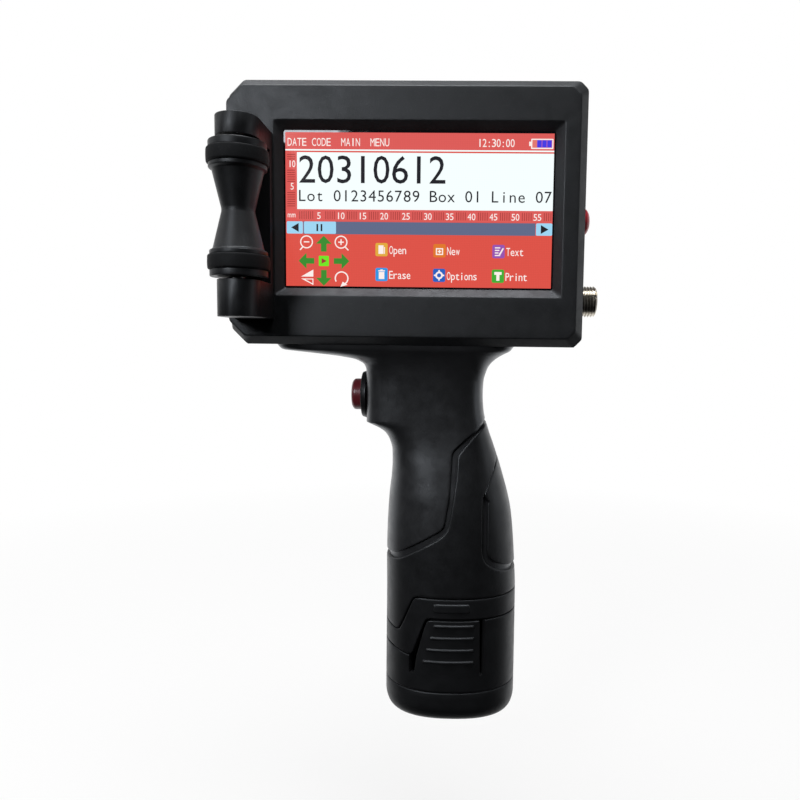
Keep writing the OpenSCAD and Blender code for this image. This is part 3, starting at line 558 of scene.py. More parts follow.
def material(look):
    """The material for a finish, made the first time it is asked for."""
    title = "finish_" + look
    if title in bpy.data.materials:
        return bpy.data.materials[title]
    c = bpy.context.scene.printer_colours
    f = bpy.context.scene.printer_finish
    grain = f.shell_grain
    recipes = {
        "shell_plastic": lambda n: moulded(n, c.shell, f.shell_roughness, 0.30, grain, 0.12, dust=0.05),
        # the neck's satin gloss is its own finish; its colour, lighter than the shell's, is painted light that
        # brightens the neck's highlights
        "neck_plastic": lambda n: moulded(n, c.neck, f.shell_roughness - 0.12, 0.32, grain * 0.7, 0.1, specular=1.0),
        "battery_plastic": lambda n: moulded(n, c.battery, 0.44, 0.36, grain * 0.8, 0.12, dust=0.02),
        "gloss_plastic": lambda n: moulded(n, c.gloss, 0.43, 0.45, 0.004, 0.15, specular=0.42, dust=0.03),
        "worn_plastic": lambda n: moulded(n, c.worn, 0.44, 0.35, 0.006, 0.2, specular=0.42, dust=0.06),
        "soft_grip": lambda n: moulded(n, c.soft, 0.42, 0.34, grain * 0.7, 0.1, specular=0.65, dust=0.02),
        "ring_rubber": lambda n: moulded(n, c.rubber, 0.68, 0.2, 0.015, 0.25, specular=0.2, dust=0.05),
        "inner_plastic": lambda n: moulded(n, (0.05, 0.05, 0.053), 0.5, 0.4, 0.008),
        "white_plastic": lambda n: moulded(n, (0.75, 0.74, 0.71), 0.4, 0.5, 0.004, 0.04),
        "glass_black": lambda n: moulded(n, (0.006, 0.006, 0.008), 0.09, 4.0, 0.0004, 0.2),
        "button_red": lambda n: moulded(n, c.button, 0.36, 0.4, 0.003, 0.1, coat=0.1),
        "trigger_red": lambda n: moulded(n, c.trigger, 0.36, 0.6, 0.004, 0.16, coat=0.2, dust=0.04),
        "circuit_green": lambda n: moulded(n, (0.012, 0.10, 0.045), 0.35, 0.8, 0.004, 0.2),
        "cell_film": lambda n: moulded(n, (0.03, 0.14, 0.32), 0.28, 2.0, 0.003, 0.06),
        "wire_red": lambda n: moulded(n, (0.42, 0.015, 0.015), 0.4, 1.0, 0.004),
        "wire_yellow": lambda n: moulded(n, (0.6, 0.42, 0.04), 0.4, 1.0, 0.004),
        "steel": lambda n: metal(n, (0.56, 0.57, 0.58), 0.3),
        "zinc": lambda n: metal(n, (0.40, 0.41, 0.42), 0.38, (4, 4, 4)),
        "nickel": lambda n: metal(n, c.nickel, 0.2, (3, 12, 12), 0.002),
        "gold": lambda n: metal(n, (0.78, 0.56, 0.22), 0.28, (5, 5, 5)),
        "aluminium": lambda n: metal(n, (0.6, 0.61, 0.62), 0.34),
    }
    screen = {
        "lit_red": (221, 82, 70), "lit_title": (220, 92, 88), "lit_white": (246, 255, 255),
        "lit_slate": (96, 106, 136), "lit_blue": (158, 214, 243), "lit_black": (30, 30, 36),
        "lit_field": (226, 120, 112), "lit_green": (58, 140, 46), "lit_bright": (112, 232, 28),
        "lit_gold": (226, 170, 60), "lit_orange": (224, 120, 40), "lit_purple": (150, 84, 176),
        "lit_sky": (52, 150, 226), "lit_steelblue": (40, 96, 190), "lit_leaf": (64, 172, 52),
        "lit_battery": (70, 60, 226), "lit_paper": (252, 240, 236), "lit_dark": (158, 58, 54),
    }
    if look in screen:
        return lit(title, srgb(*screen[look]), f.screen_light, 0.04 if look in ("lit_red", "lit_title") else 0.02)
    return recipes[look](title)


# ======================================================================================================================
# What a user may change
# ======================================================================================================================

def colour_prop(name, text, value):
    """A colour setting."""
    return FloatVectorProperty(name=name, description=text, subtype="COLOR", size=3, min=0, max=1, default=value)


class PrinterColours(bpy.types.PropertyGroup):
    """Colours of the printer's mouldings and controls, in linear light."""

    shell: colour_prop("Shell", "Textured shell of head and neck", (0.0125, 0.0130, 0.0142))
    # painted light: lighter than the shell colour, so the neck and grip look as brightly lit as their highlights, which
    # the lamps alone leave too dim
    neck: colour_prop("Neck", "Satin shell of grip and neck", (0.021, 0.0218, 0.0238))
    battery: colour_prop("Battery", "Shell of the battery pack", (0.0080, 0.0083, 0.0092))
    gloss: colour_prop("Bracket", "Polished bracket and roller", (0.0060, 0.0062, 0.0070))
    worn: colour_prop("Worn cone", "Lower cone of a roller, scuffed grey", (0.017, 0.0172, 0.018))
    soft: colour_prop("Soft grip", "Soft skin of the grip", (0.0075, 0.0077, 0.0084))
    rubber: colour_prop("Rubber", "Rings of the rollers", (0.0055, 0.0057, 0.0062))
    button: colour_prop("Power button", "Cap of the power button", (0.66, 0.016, 0.035))
    trigger: colour_prop("Trigger", "Cap of the trigger", (0.17, 0.022, 0.03))
    nickel: colour_prop("Nickel", "Sensor connector", (0.74, 0.70, 0.62))


class PrinterFinish(bpy.types.PropertyGroup):
    """Texture and light of the surfaces."""

    shell_grain: FloatProperty(name="Grain", description="Depth of the shell's texture in millimetres", default=0.05,
                               min=0, max=0.1)
    shell_roughness: FloatProperty(name="Roughness", description="Roughness of the shell", default=0.46, min=0, max=1)
    screen_light: FloatProperty(name="Screen light", description="Strength of the lit display", default=1.0, min=0,
                                max=5)
    cover_round: FloatProperty(name="Cover edge", description="Round of the front cover's edge in millimetres",
                               default=0.4, min=0.1, max=2)


class PrinterStudio(bpy.types.PropertyGroup):
    """Floor and lights."""

    floor: colour_prop("Floor", "Colour of the floor", (0.86, 0.86, 0.86))
    floor_drop: FloatProperty(name="Floor drop", description="How far the floor lies below the printer in "
                              "millimetres, so the battery pack has room to slide out", default=72, min=0)
    top_light: FloatProperty(name="Top light", description="Power of the overhead soft box", subtype="POWER",
                             default=8.2, min=0)
    key_light: FloatProperty(name="Key light", description="Power of the soft box in front, above and to the left",
                             subtype="POWER", default=4.3, min=0)
    side_light: FloatProperty(name="Side lights", description="Power of each tall soft box", subtype="POWER",
                              default=0.6, min=0)
    surround: FloatProperty(name="Surround", description="Brightness of the room in front", default=0.045, min=0)
    backdrop: FloatProperty(name="Backdrop", description="Brightness of the room behind", default=1.5, min=0)


# ======================================================================================================================
# Head
# ======================================================================================================================

class PRINTER_OT_front_cover(bpy.types.Operator):
    """Front cover: a bevelled frame that slopes in to the screen"""

    bl_idname = "printer.front_cover"
    bl_label = "Front cover"

    def execute(self, context):
        r = context.scene.printer_finish.cover_round
        outer = rounded([[0, SEAM - 0.5], [3, FRONT], [8, FRONT]], [0, r, 0], 8, closed=False)
        outer = outer[outer[:, 0] < 4.6]
        side = 0.4  # the left side has no bevel, only a small round
        depth = np.clip(side - (outer[:, 1] - FRONT), 0, side)
        left = side - np.sqrt(side ** 2 - depth ** 2)
        loops = [(head_outline(0.3), SEAM - 0.15), (head_outline(0.08), SEAM - 0.28)]
        loops += [(head_outline(d, l), y) for (d, y), l in zip(outer, left)]
        loops.append((head_outline(5, 3), FRONT))
        slope = rounded([[-1.6, FRONT], [0, FRONT], [SLOPE, GLASS - 0.25], [SLOPE + 0.25, GLASS - 0.02]],
                        [0, 0.3, 0.2, 0], 6, closed=False)
        loops += [(window(OPENING[0] - 2 * d, OPENING[1] - 2 * d, 0.9), y) for d, y in slope]
        loops += [(window(105.9, 67.6, 1), GLASS - 0.02), (window(105.9, 67.6, 1), SEAM + 1.9),
                  (head_outline(2.6), SEAM + 1.9), (head_outline(2.6), SEAM - 0.15)]
        piece("cover_front", tunnel(loops, np.array(SCREEN)), "shell_plastic", "printer",
              ["front_cover"], 30)
        return {"FINISHED"}


class PRINTER_OT_rear_housing(bpy.types.Operator):
    """Rear housing with vents, its print face plate, data socket and screws"""

    bl_idname = "printer.rear_housing"
    bl_label = "Rear housing"

    def execute(self, context):
        keep_node("rear_housing", "shell_plastic", 0.5, 3)
        keep_node("print_face_plate", "steel", 0.15)
        keep_node("usb_shell", "nickel", 0.08)
        keep_node("usb_tongue", "white_plastic", 0.1)
        for node in ("housing_screws", "handle_screws", "bracket_screws", "neck_screws", "board_screws"):
            keep_node(node, "zinc", 0.12)
        return {"FINISHED"}


# ---- display: places on the screen are measured right and down from its top left corner ----

def screen_flat(outline, level):
    """A plate on the display: its outline in screen places, its face one step further out for each level."""
    p = np.asarray(outline, float) * [1, -1] + [SCREEN[0] - SCREEN_W / 2, SCREEN[1] + SCREEN_H / 2]
    return prism(p, GLASS - 0.03 - 0.03 * level, GLASS + 0.01)


def bar(x0, y0, x1, y1, level=1, corner=0.0):
    """A rectangle on the display."""
    flat = rectangle(x0, y0, x1, y1)
    return screen_flat(rounded(flat, corner) if corner else flat, level)


def arrow(x, y, size, turn, level=2):
    """A block arrow round a point, turned by quarter turns from pointing right."""
    flat = np.array([[-1, -0.36], [0, -0.36], [0, -1], [1, 0], [0, 1], [0, 0.36], [-1, 0.36]]) * size
    a = turn * math.pi / 2
    spin = np.array([[math.cos(a), math.sin(a)], [-math.sin(a), math.cos(a)]])
    return screen_flat(flat @ spin + [x, y], level)


def band(x, y, r0, r1, start=0.0, end=360.0, level=2):
    """Part of a flat ring between two radii, from one angle to another."""
    a = np.radians(np.linspace(start, end, 40))
    flat = np.concatenate([np.stack([r1 * np.cos(a), r1 * np.sin(a)], 1),
                           np.stack([r0 * np.cos(a[::-1]), r0 * np.sin(a[::-1])], 1)])
    if end - start >= 360:
        half = [band(x, y, r0, r1, s, s + 180, level) for s in (0.0, 180.0)]
        return join(*half)
    return screen_flat(flat + [x, y], level)


LETTERS = {}


def letter(c):
    """The outline solid of one character of the built-in font, one unit high, kept for use again."""
    if c not in LETTERS:
        curve = bpy.data.curves.new("letter", "FONT")
        curve.body, curve.extrude, curve.resolution_u = c, 0.5, 3
        obj = bpy.data.objects.new("letter", curve)
        mesh = obj.to_mesh()
        mesh.calc_loop_triangles()
        points = np.zeros(len(mesh.vertices) * 3, np.float32)
        mesh.vertices.foreach_get("co", points)
        tris = np.zeros(len(mesh.loop_triangles) * 3, np.int32)
        mesh.loop_triangles.foreach_get("vertices", tris)
        LETTERS[c] = points.reshape(-1, 3).astype(float), tris.reshape(-1, 3)
        obj.to_mesh_clear()
        bpy.data.objects.remove(obj)
        bpy.data.curves.remove(curve)
    return LETTERS[c]


def words(text, x, y, height, pitch, level=2):
    """Characters on a fixed pitch with their feet at y: each is scaled to the height, and narrowed to fit its place."""
    cap = np.ptp(letter("H")[0][:, 1])
    shapes = []
    for i, c in enumerate(text):
        if c == " ":
            continue
        points, tris = letter(c)
        low, high = points[:, 0].min(), points[:, 0].max()
        scale = height / cap
        wide = min(scale, 0.86 * pitch / max(high - low, 1e-6))
        px = x + pitch * (i + 0.5) + (points[:, 0] - (low + high) / 2) * wide
        pz = y - points[:, 1] * scale
        py = np.where(points[:, 2] > 0, GLASS - 0.03 - 0.03 * level, GLASS + 0.01)
        px, pz = px + SCREEN[0] - SCREEN_W / 2, SCREEN[1] + SCREEN_H / 2 - pz
        shapes.append((np.stack([px, py, pz], 1), [tris]))
    return join(*shapes)


class PRINTER_OT_screen(bpy.types.Operator):
    """Touch glass and the lit display under it, with a plain menu of generic marks"""

    bl_idname = "printer.screen"
    bl_label = "Screen"

    def execute(self, context):
        glass = prism(window(105.5, 67.2, 1.5), GLASS, GLASS + 1.3, 0.12)
        piece("screen_glass", glass, "glass_black", "printer", ["touch_glass"])
        keep_node("display_module", "aluminium", 0.3)
        w, h = SCREEN_W, SCREEN_H
        zero, tick, thick = 4.1, 0.778, 0.24  # where the rulers start, the pitch of their ticks and how thick they are
        ruler = [zero + 10 * tick * k for k in range(1, 12)]
        ticks = [bar(zero + tick * k, 27.4, zero + thick + tick * k, 30.2, 2) for k in range(1, 117)
                 if all(abs(zero + 0.1 + tick * k - c) > 1.8 for c in ruler)]
        ticks += [bar(0.6, 7.6 + tick * k, 3.4, 7.6 + thick + tick * k, 2) for k in range(24)
                  if abs(7.7 + tick * k - 11) > 1.5 and abs(7.7 + tick * k - 18.8) > 1.5]
        spots = {"gold": (34.35, 40.7), "sky": (34.4, 49.5), "orange": (55.1, 40.9), "steelblue": (55.05, 49.6),
                 "purple": (76.15, 41.0), "leaf": (76.1, 49.7)}
        labels = [(37.0, 42.2, "Open"), (37.0, 51.0, "Erase"), (57.7, 42.4, "New"), (57.7, 51.2, "Options"),
                  (78.8, 42.5, "Text"), (78.7, 51.3, "Print")]

        def icon(tone):
            """The coloured square of an icon."""
            a, b = spots[tone]
            return bar(a - 2.2, b - 2.35, a + 2.2, b + 2.35, 2, 0.7)

        def at(tone, *boxes):
            """Bars of an icon's mark, measured from its middle."""
            a, b = spots[tone]
            return [bar(a + x0, b + y0, a + x1, b + y1, 3, 0.06) for x0, y0, x1, y1 in boxes]

        marks = (at("gold", (-1.1, -1.5, 0.7, 1.5), (0.9, -0.9, 1.2, 1.5))
                 + at("sky", (-1.2, -1.5, 1.2, -1.1), (-0.4, -1.8, 0.4, -1.5), (-1.0, -0.9, 1.0, 1.6))
                 + at("orange", (-1.3, -0.9, 1.3, -0.5), (-1.3, 1.1, 1.3, 1.5), (-1.3, -0.9, -0.9, 1.5),
                      (0.9, -0.9, 1.3, 1.5), (-0.2, -0.3, 0.2, 0.9), (-0.6, 0.1, 0.6, 0.5))
                 + at("purple", (-1.3, -1.5, 0.6, -1.1), (-1.3, -0.6, 0.3, -0.2), (-1.3, 0.3, 0.0, 0.7),
                      (-1.3, 1.2, 0.6, 1.6))
                 + at("leaf", (-1.3, -1.5, 1.3, -0.5), (-0.55, -0.5, 0.55, 1.6)))
        px, pz = spots["purple"]
        marks.append(screen_flat([[px + 0.1, pz + 1.0], [px + 1.5, pz - 1.3], [px + 1.9, pz - 1.0],
                                  [px + 0.6, pz + 1.3]], 3))
        gx, gz = spots["steelblue"]
        marks += [band(gx, gz, 0.75, 1.35, level=3)]
        marks += [bar(gx - 0.25, gz + d - 0.35, gx + 0.25, gz + d + 0.35, 3) for d in (-1.5, 1.5)]
        marks += [bar(gx + d - 0.35, gz - 0.25, gx + d + 0.35, gz + 0.25, 3) for d in (-1.5, 1.5)]
        lens = [band(7.4, 38.2, 1.9, 2.3), bar(6.4, 38.0, 8.4, 38.4, 2),
                screen_flat([[5.9, 39.8], [6.2, 40.1], [5.2, 41.2], [4.9, 40.9]], 2),
                band(19.8, 38.2, 1.9, 2.3), bar(18.8, 38.0, 20.8, 38.4, 2), bar(19.6, 37.2, 20.0, 39.2, 2),
                screen_flat([[21.2, 40.1], [21.5, 39.8], [22.6, 40.9], [22.3, 41.2]], 2)]
        turn = [band(20.0, 51.0, 2.05, 2.5, -210, 60), screen_flat([[19.6, 54.0], [20.4, 52.2], [22.1, 53.3]], 2)]
        flip = [screen_flat([[5.4, 50.5], [9.8, 48.0], [9.8, 50.5]], 2),
                screen_flat([[5.4, 51.2], [9.8, 51.2], [9.8, 51.5], [6.9, 51.5]], 2),
                screen_flat([[5.4, 51.2], [6.9, 51.5], [9.8, 53.1], [9.8, 53.5]], 2),
                bar(9.5, 51.2, 9.8, 53.4, 2)]
        parts = {
            "red": [bar(0, 0, w, h, 0)],
            "title": [bar(0, 0, w, 5.9, 1), bar(0, 26.8, w, 30.8, 1), bar(0, 6.6, 4.0, 30.8, 1)],
            "field": [bar(87.3, 2.2, 94.3, 4.9, 3)],
            "white": [bar(0, 5.85, w, 6.35, 2), bar(4.1, 6.9, w, 26.7, 2)],
            "slate": [bar(6.2, 31.0, 89.1, 35.4, 1)],
            "blue": [bar(0.3, 31.0, 6.1, 35.3, 2, 0.5), bar(6.5, 31.0, 18.0, 35.3, 2, 0.5),
                     bar(89.3, 31.0, w, 35.3, 2, 0.5)],
            "black": [words("20310612", 4.4, 17.5, 9.4, 6.62, 3),
                      words("Lot 0123456789 Box 01 Line 07", 4.4, 23.9, 3.9, 3.12, 3),
                      bar(11.0, 31.9, 11.6, 34.4, 3), bar(12.5, 31.9, 13.1, 34.4, 3),
                      screen_flat([[1.9, 33.15], [4.6, 31.6], [4.6, 34.7]], 3),
                      screen_flat([[93.7, 33.15], [91.0, 31.6], [91.0, 34.7]], 3)],
            "green": [arrow(13.6, 38.8, 2.8, 3), arrow(13.6, 50.9, 2.8, 1), arrow(7.35, 44.9, 2.8, 2),
                      arrow(20.0, 44.9, 2.8, 0)],
            "leaf": [icon("leaf")],
            "bright": [bar(11.8, 43.1, 15.4, 46.7, 2, 0.3)],
            "dark": [screen_flat([[12.8, 43.9], [14.7, 44.9], [12.8, 45.9]], 3)] + ticks,
            "paper": lens + turn + flip + marks
                     + [words("DATE CODE  MAIN  MENU", 0.7, 4.7, 2.7, 1.73), words("12:30:00", 68.1, 4.7, 2.7, 1.64),
                        words("10", 1.0, 12.1, 2.3, 1.3, 3), words("5", 1.7, 19.9, 2.3, 1.3, 3),
                        words("mm", 0.6, 29.6, 1.9, 1.5, 3)]
                     + [words(str(5 * (k + 1)), cx - 0.75 * len(str(5 * (k + 1))), 30.1, 2.3, 1.5, 3)
                        for k, cx in enumerate(ruler)]
                     + [words(t, a, b, 2.8, 1.57) for a, b, t in labels]
                     + [bar(86.9, 1.8, 94.7, 5.3, 2, 0.3), bar(86.2, 2.8, 86.9, 4.3, 2)],
            "gold": [icon("gold")], "sky": [icon("sky")], "orange": [icon("orange")], "purple": [icon("purple")],
            "steelblue": [icon("steelblue")],
            "battery": [bar(89.0 + 1.75 * k, 2.3, 90.6 + 1.75 * k, 4.8, 4) for k in range(3)],
        }
        for tone, shapes in parts.items():
            piece("display_" + tone, join(*shapes), "lit_" + tone, "printer")
        return {"FINISHED"}


class PRINTER_OT_inner_parts(bpy.types.Operator):
    """Everything inside the shells: boards, guide, contacts, nuts, wires, terminal and cells"""

    bl_idname = "printer.inner_parts"
    bl_label = "Inner parts"

    def execute(self, context):
        finishes = {
            "circuit_green": "main_board encoder_board battery_board", "inner_plastic": "cartridge_guide "
            "terminal_block sensor_connector_insert battery_case", "gold": "contact_board battery_blades nozzle_plate",
            "steel": "encoder_disc front_bearings rear_bearings front_axle rear_axle",
            "nickel": "power_button_nut sensor_connector_nut", "gloss_plastic": "trigger_nut encoder_cover "
            "rear_bracket_cover", "cell_film": "battery_cells", "wire_red": "power_wires",
            "wire_yellow": "trigger_wires", "worn_plastic": "ink_cartridge"}
        for look, nodes in finishes.items():
            for node in nodes.split():
                plain = look.startswith("wire") or node == "encoder_disc"
                keep_node(node, look, 0 if plain else 0.6 if node == "ink_cartridge" else 0.15)
        return {"FINISHED"}


# ======================================================================================================================
# Rollers and controls
# ======================================================================================================================

class PRINTER_OT_rollers(bpy.types.Operator):
    """Both guide rollers: hourglass hub, two rubber rings and the bracket"""

    bl_idname = "printer.rollers"
    bl_label = "Guide rollers"

    def execute(self, context):
        half = [[2.02, 21.8], [LIP_R, 21.8], [LIP_R, 19.5], [SEAT_R, 19.5], [SEAT_R, 14.6], [LIP_R, 14.6],
                [LIP_R, 13.3], [SEAT_R + 0.1, 12.7], [WAIST_R, 0.5]]
        turn = [0.1, 0.45, 0.2, 0.1, 0.1, 0.2, 0.25, 0.4, 0.4]
        outline = half + [[r, -z] for r, z in half[::-1]]
        hub = rounded(outline, turn + turn[::-1], 5)
        for side, name in ((-1, "front"), (1, "rear")):
            y, body = side * ROLLER_Y, name + "_roller"
            at = (ROLLER_X, y, ROLLER_Z)
            obj = piece(body + "_hub", lathe(hub, "z", at, 128, True), "gloss_plastic", body,
                        [name + "_hub"], 30)
            obj.data.materials.append(material("worn_plastic"))
            centres = np.zeros(len(obj.data.polygons) * 3, np.float32)
            obj.data.polygons.foreach_get("center", centres)
            z = centres.reshape(-1, 3)[:, 2] / MM - ROLLER_Z
            obj.data.polygons.foreach_set("material_index", ((z < -0.45) & (z > -12.9)).astype(np.int32))
            for level, sign in (("upper", 1), ("lower", -1)):
                ring = rounded([[SEAT_R, 14.62], [RING_R - 0.12, 14.62], [RING_R, 17.05], [RING_R - 0.12, 19.48],
                                [SEAT_R, 19.48]], [0.1, 0.7, 1.5, 0.7, 0.1], 7) * [1, sign]
                piece(f"{name}_{level}_tyre", lathe(ring, "z", at, 128, True), "ring_rubber", body,
                      [f"{name}_{level}_ring"])
            keep_node(name + "_bracket", "gloss_plastic", 0.55, 3)
        return {"FINISHED"}


class PRINTER_OT_controls(bpy.types.Operator):
    """Trigger, power button and the threaded sensor connector"""

    bl_idname = "printer.controls"
    bl_label = "Controls"

    def execute(self, context):
        cap = rounded([[0, 0.45], [3.6, 0.3], [4.9, 0.0], [6.15, 0.9], [6.15, 13], [0, 13]],
                      [0, 1.2, 0.5, 0.8, 0.2, 0], 8, closed=False)
        piece("trigger_button", lathe(cap, "x", (NECK_X - 6.2, 0, TRIGGER_Z)), "trigger_red", "trigger",
              ["trigger_cap"])
        keep_node("trigger_body", "gloss_plastic", 0.3, 3)
        dome = rounded([[0, 0], [5.2, 0], [5.2, 10.3], [3.0, 11.75], [0, 11.9]], [0, 0.2, 1.1, 2.6, 0], 10,
                       closed=False)
        piece("power_button", lathe(dome, "x", (HEAD_RIGHT - 6.5, 0, POWER_Z)), "button_red", "power_button",
              ["power_button_cap"])
        keep_node("power_button_body", "gloss_plastic", 0.35, 3)
        piece("connector_barrel", self.thread(), "nickel", "printer", ["sensor_connector"], 50)
        return {"FINISHED"}

    @staticmethod
    def thread(pitch=1.1, depth=0.55, turns=96):
        """The barrel: r = R - depth (1 + cos(2 pi (x / pitch - angle / 2 pi))) / 2 along the thread, then a chamfer,
        the bore and the smooth shank."""
        x = np.linspace(HEAD_RIGHT + 0.25, HEAD_RIGHT + 8.5, 100)
        chamfer = np.clip(x - (HEAD_RIGHT + 7.9), 0, 1)
        run = np.stack([6.0 - chamfer, x], 1)
        plain = np.array([[4.6, HEAD_RIGHT + 8.5], [4.6, HEAD_RIGHT - 13], [5.5, HEAD_RIGHT - 13],
                          [5.5, HEAD_RIGHT], [5.9, HEAD_RIGHT], [6.0, HEAD_RIGHT + 0.2]])
        p = np.concatenate([run, plain])
        fade = np.concatenate([np.clip((x - HEAD_RIGHT - 0.25) / 0.6, 0, 1) * (chamfer < 0.3), np.zeros(6)])
        angle = np.linspace(0, 2 * math.pi, turns, endpoint=False)[:, None]
        wave = (1 + np.cos(2 * math.pi * p[:, 1] / pitch - angle)) / 2
        r = p[:, 0] - depth * fade * wave
        points = np.stack([np.broadcast_to(p[:, 1], r.shape), r * np.cos(angle), CONNECTOR_Z + r * np.sin(angle)], -1)
        return points.reshape(-1, 3), [grid(turns, len(p), True, True)]


# ======================================================================================================================
# Grip and battery pack
# ======================================================================================================================

class PRINTER_OT_grip(bpy.types.Operator):
    """Grip shells with the channels between them and the soft pieces, palm pad and collar"""

    bl_idname = "printer.grip"
    bl_label = "Grip"

    def execute(self, context):
        foot = (lambda x, y, z: beside(GRIP_FOOT, x, z) - 0.2, *edge(0.4), True)
        channel = (lambda x, y, z: beside(SLEEVE_EDGE, x, z), *edge(0.45, 0, (-0.1, SKIN + 0.03)), False)
        split = (lambda x, y, z: np.abs(y) - 0.05, *edge(0.22), True)
        for name, turn in (("front", NEAR), ("rear", FAR)):
            piece("grip_shell_" + name, skin_piece(turn, net(33, HEAD_LOW), [foot, channel, split], 3.4),
                  "neck_plastic", "printer", ["handle_" + name], 42)
        gap = lambda z: np.interp(z, [60, 72, 75, 90, 95, 104, 110], [2.3, 2.3, 1.8, 1.8, 2.3, 2.3, 1.5])
        sleeve = [(lambda x, y, z: -beside(SLEEVE_EDGE, x, z) - gap(z), *edge(0.5), True), foot,
                  (lambda x, y, z: -beside(PALM_EDGE, x, z, "z") - 0.06, *edge(0.35), True)]
        piece("soft_sleeve", skin_piece(FULL, net(33, 119), sleeve, SKIN), "soft_grip", "printer",
              ["grip_sleeve"], 42)
        palm = [(lambda x, y, z: beside(PALM_EDGE, x, z, "z") - np.interp(z, [57, 86, 89], [2.1, 2.3, 0.14]),
                 *edge(0.4), True), (lambda x, y, z: x - 6, np.array([0.0]), np.array([0.0]), True)]
        piece("soft_palm", skin_piece(np.linspace(-1.7, 1.7, 121), net(50, 108), palm, SKIN), "soft_grip",
              "printer", ["palm_pad"], 42)
        bar = rectangle(-6.5, 44.1, 7.2, 47.6)
        collar = [(lambda x, y, z: beside(COLLAR_FOOT, x, z) - 0.2, *edge(0.4), True),
                  (lambda x, y, z: -beside(GRIP_FOOT, x, z) - 0.2, *edge(0.4), True),
                  (lambda x, y, z: np.where(y < 0, within(bar, x, z), -9), np.array([0, 0.1, 0.3, 0.5]),
                   np.array([0.0, -0.2, -0.38, -0.42]), False)]
        piece("grip_collar", skin_piece(FULL, net(24, 51, 0.7), collar, 2.4), "battery_plastic", "printer",
              ["handle_collar"], 42)
        return {"FINISHED"}


class PRINTER_OT_battery(bpy.types.Operator):
    """Battery pack: shell, base and the two ribbed release tabs"""

    bl_idname = "printer.battery"
    bl_label = "Battery pack"

    def execute(self, context):
        hole = [[TAB_LEFT, TAB_FOOT - 0.02], [TAB_RIGHT - 0.6, TAB_FOOT - 0.02], [TAB_RIGHT + 0.1, 46], [TAB_LEFT, 46]]
        sharp = np.array([0.0]), np.array([0.0]), True
        shell = [(lambda x, y, z: -beside(COLLAR_FOOT, x, z) - 0.3, *edge(0.4), True),
                 (lambda x, y, z: z - BASE_TOP - 0.12, *edge(0.35), True),
                 (lambda x, y, z: np.where(np.abs(y) > 9, -within(hole, x, z), 9.0), *sharp)]
        piece("battery_housing", skin_piece(FULL, net(BASE_TOP + 0.1, 43, 0.7), shell, 2.0), "battery_plastic",
              "battery_pack", ["battery_shell"], 42)
        z = np.array([0, 0.15, 0.5, 0.9, 1.3, 2.2, 3.1, 4.2, 5.3, 6.5, 8, 10, 12.2, 12.45, 12.62, 12.72])
        depth = np.array([0] * 13 + [0.06, 0.18, 0.4])
        t = FULL[:-1]
        rings = np.stack([grip_point(t, np.full_like(t, h), d) for h, d in zip(z, depth)])
        n = len(t)
        foot = rings.reshape(-1, 3), [grid(len(z), n, False, True), np.arange(n)[None],
                                      np.arange(n)[None] + (len(z) - 1) * n]
        piece("battery_foot", foot, "battery_plastic", "battery_pack", ["battery_base"])

        def sides(x, y, z):
            """Distance in from the slots on the tab's two sides."""
            return np.minimum(x - np.interp(z, [19.5, 26.5, 41.5], [-13.9, -12.9, -9.0]),
                              np.interp(z, [19.5, 41.5], [11.5, 11.1]) - x)

        def ribs(x, y, z):
            """How far inside one of the four raised ribs."""
            return np.max([np.minimum(0.66 - np.abs(z - 24.9 - 4.68 * i),
                                      np.minimum(x + 10.4 - 1.33 * i, 8.9 - x)) for i in range(4)], 0)

        tab = [(sides, *edge(0.35), True), (lambda x, y, z: z - TAB_FOOT, *sharp),
               (lambda x, y, z: -beside(COLLAR_FOOT, x, z) - 0.6, *edge(0.3), True),
               (ribs, np.array([0, 0.08, 0.25, 0.45, 0.6]), np.array([0, -0.28, -0.48, -0.58, -0.6]), False)]
        for name, turn in (("front", np.linspace(-2.7, -0.45, 121)), ("rear", np.linspace(0.45, 2.7, 121))):
            piece(name + "_tab_plate", skin_piece(turn, np.arange(19, 42.4, 0.3), tab, 2.6), "battery_plastic",
                  name + "_tab", [name + "_release"], 50)
        return {"FINISHED"}


# ======================================================================================================================
# Studio
# ======================================================================================================================

def put(obj, right, up, back, place):
    """Turns and places an object: the three directions are where its own x, y and z axes point."""
    m = Matrix.Identity(4)
    for k, axis in enumerate((right, up, back, place)):
        for row in range(3):
            m[row][k] = axis[row]
    obj.matrix_world = m


def soft_box(name, place, aim, size, power):
    """A rectangular area light at place that faces aim; lengths in metres."""
    data = bpy.data.lights.new(name, "AREA")
    data.shape, data.size, data.size_y, data.energy = "RECTANGLE", size[0], size[1], power
    obj = bpy.data.objects.new(name, data)
    bpy.context.scene.collection.objects.link(obj)
    to = np.array(aim, float) - np.array(place, float)
    to /= np.linalg.norm(to)
    side = np.cross(to, (0, 0, 1) if abs(to[2]) < 0.99 else (0, 1, 0))
    side /= np.linalg.norm(side)
    put(obj, side, np.cross(side, to), -to, place)


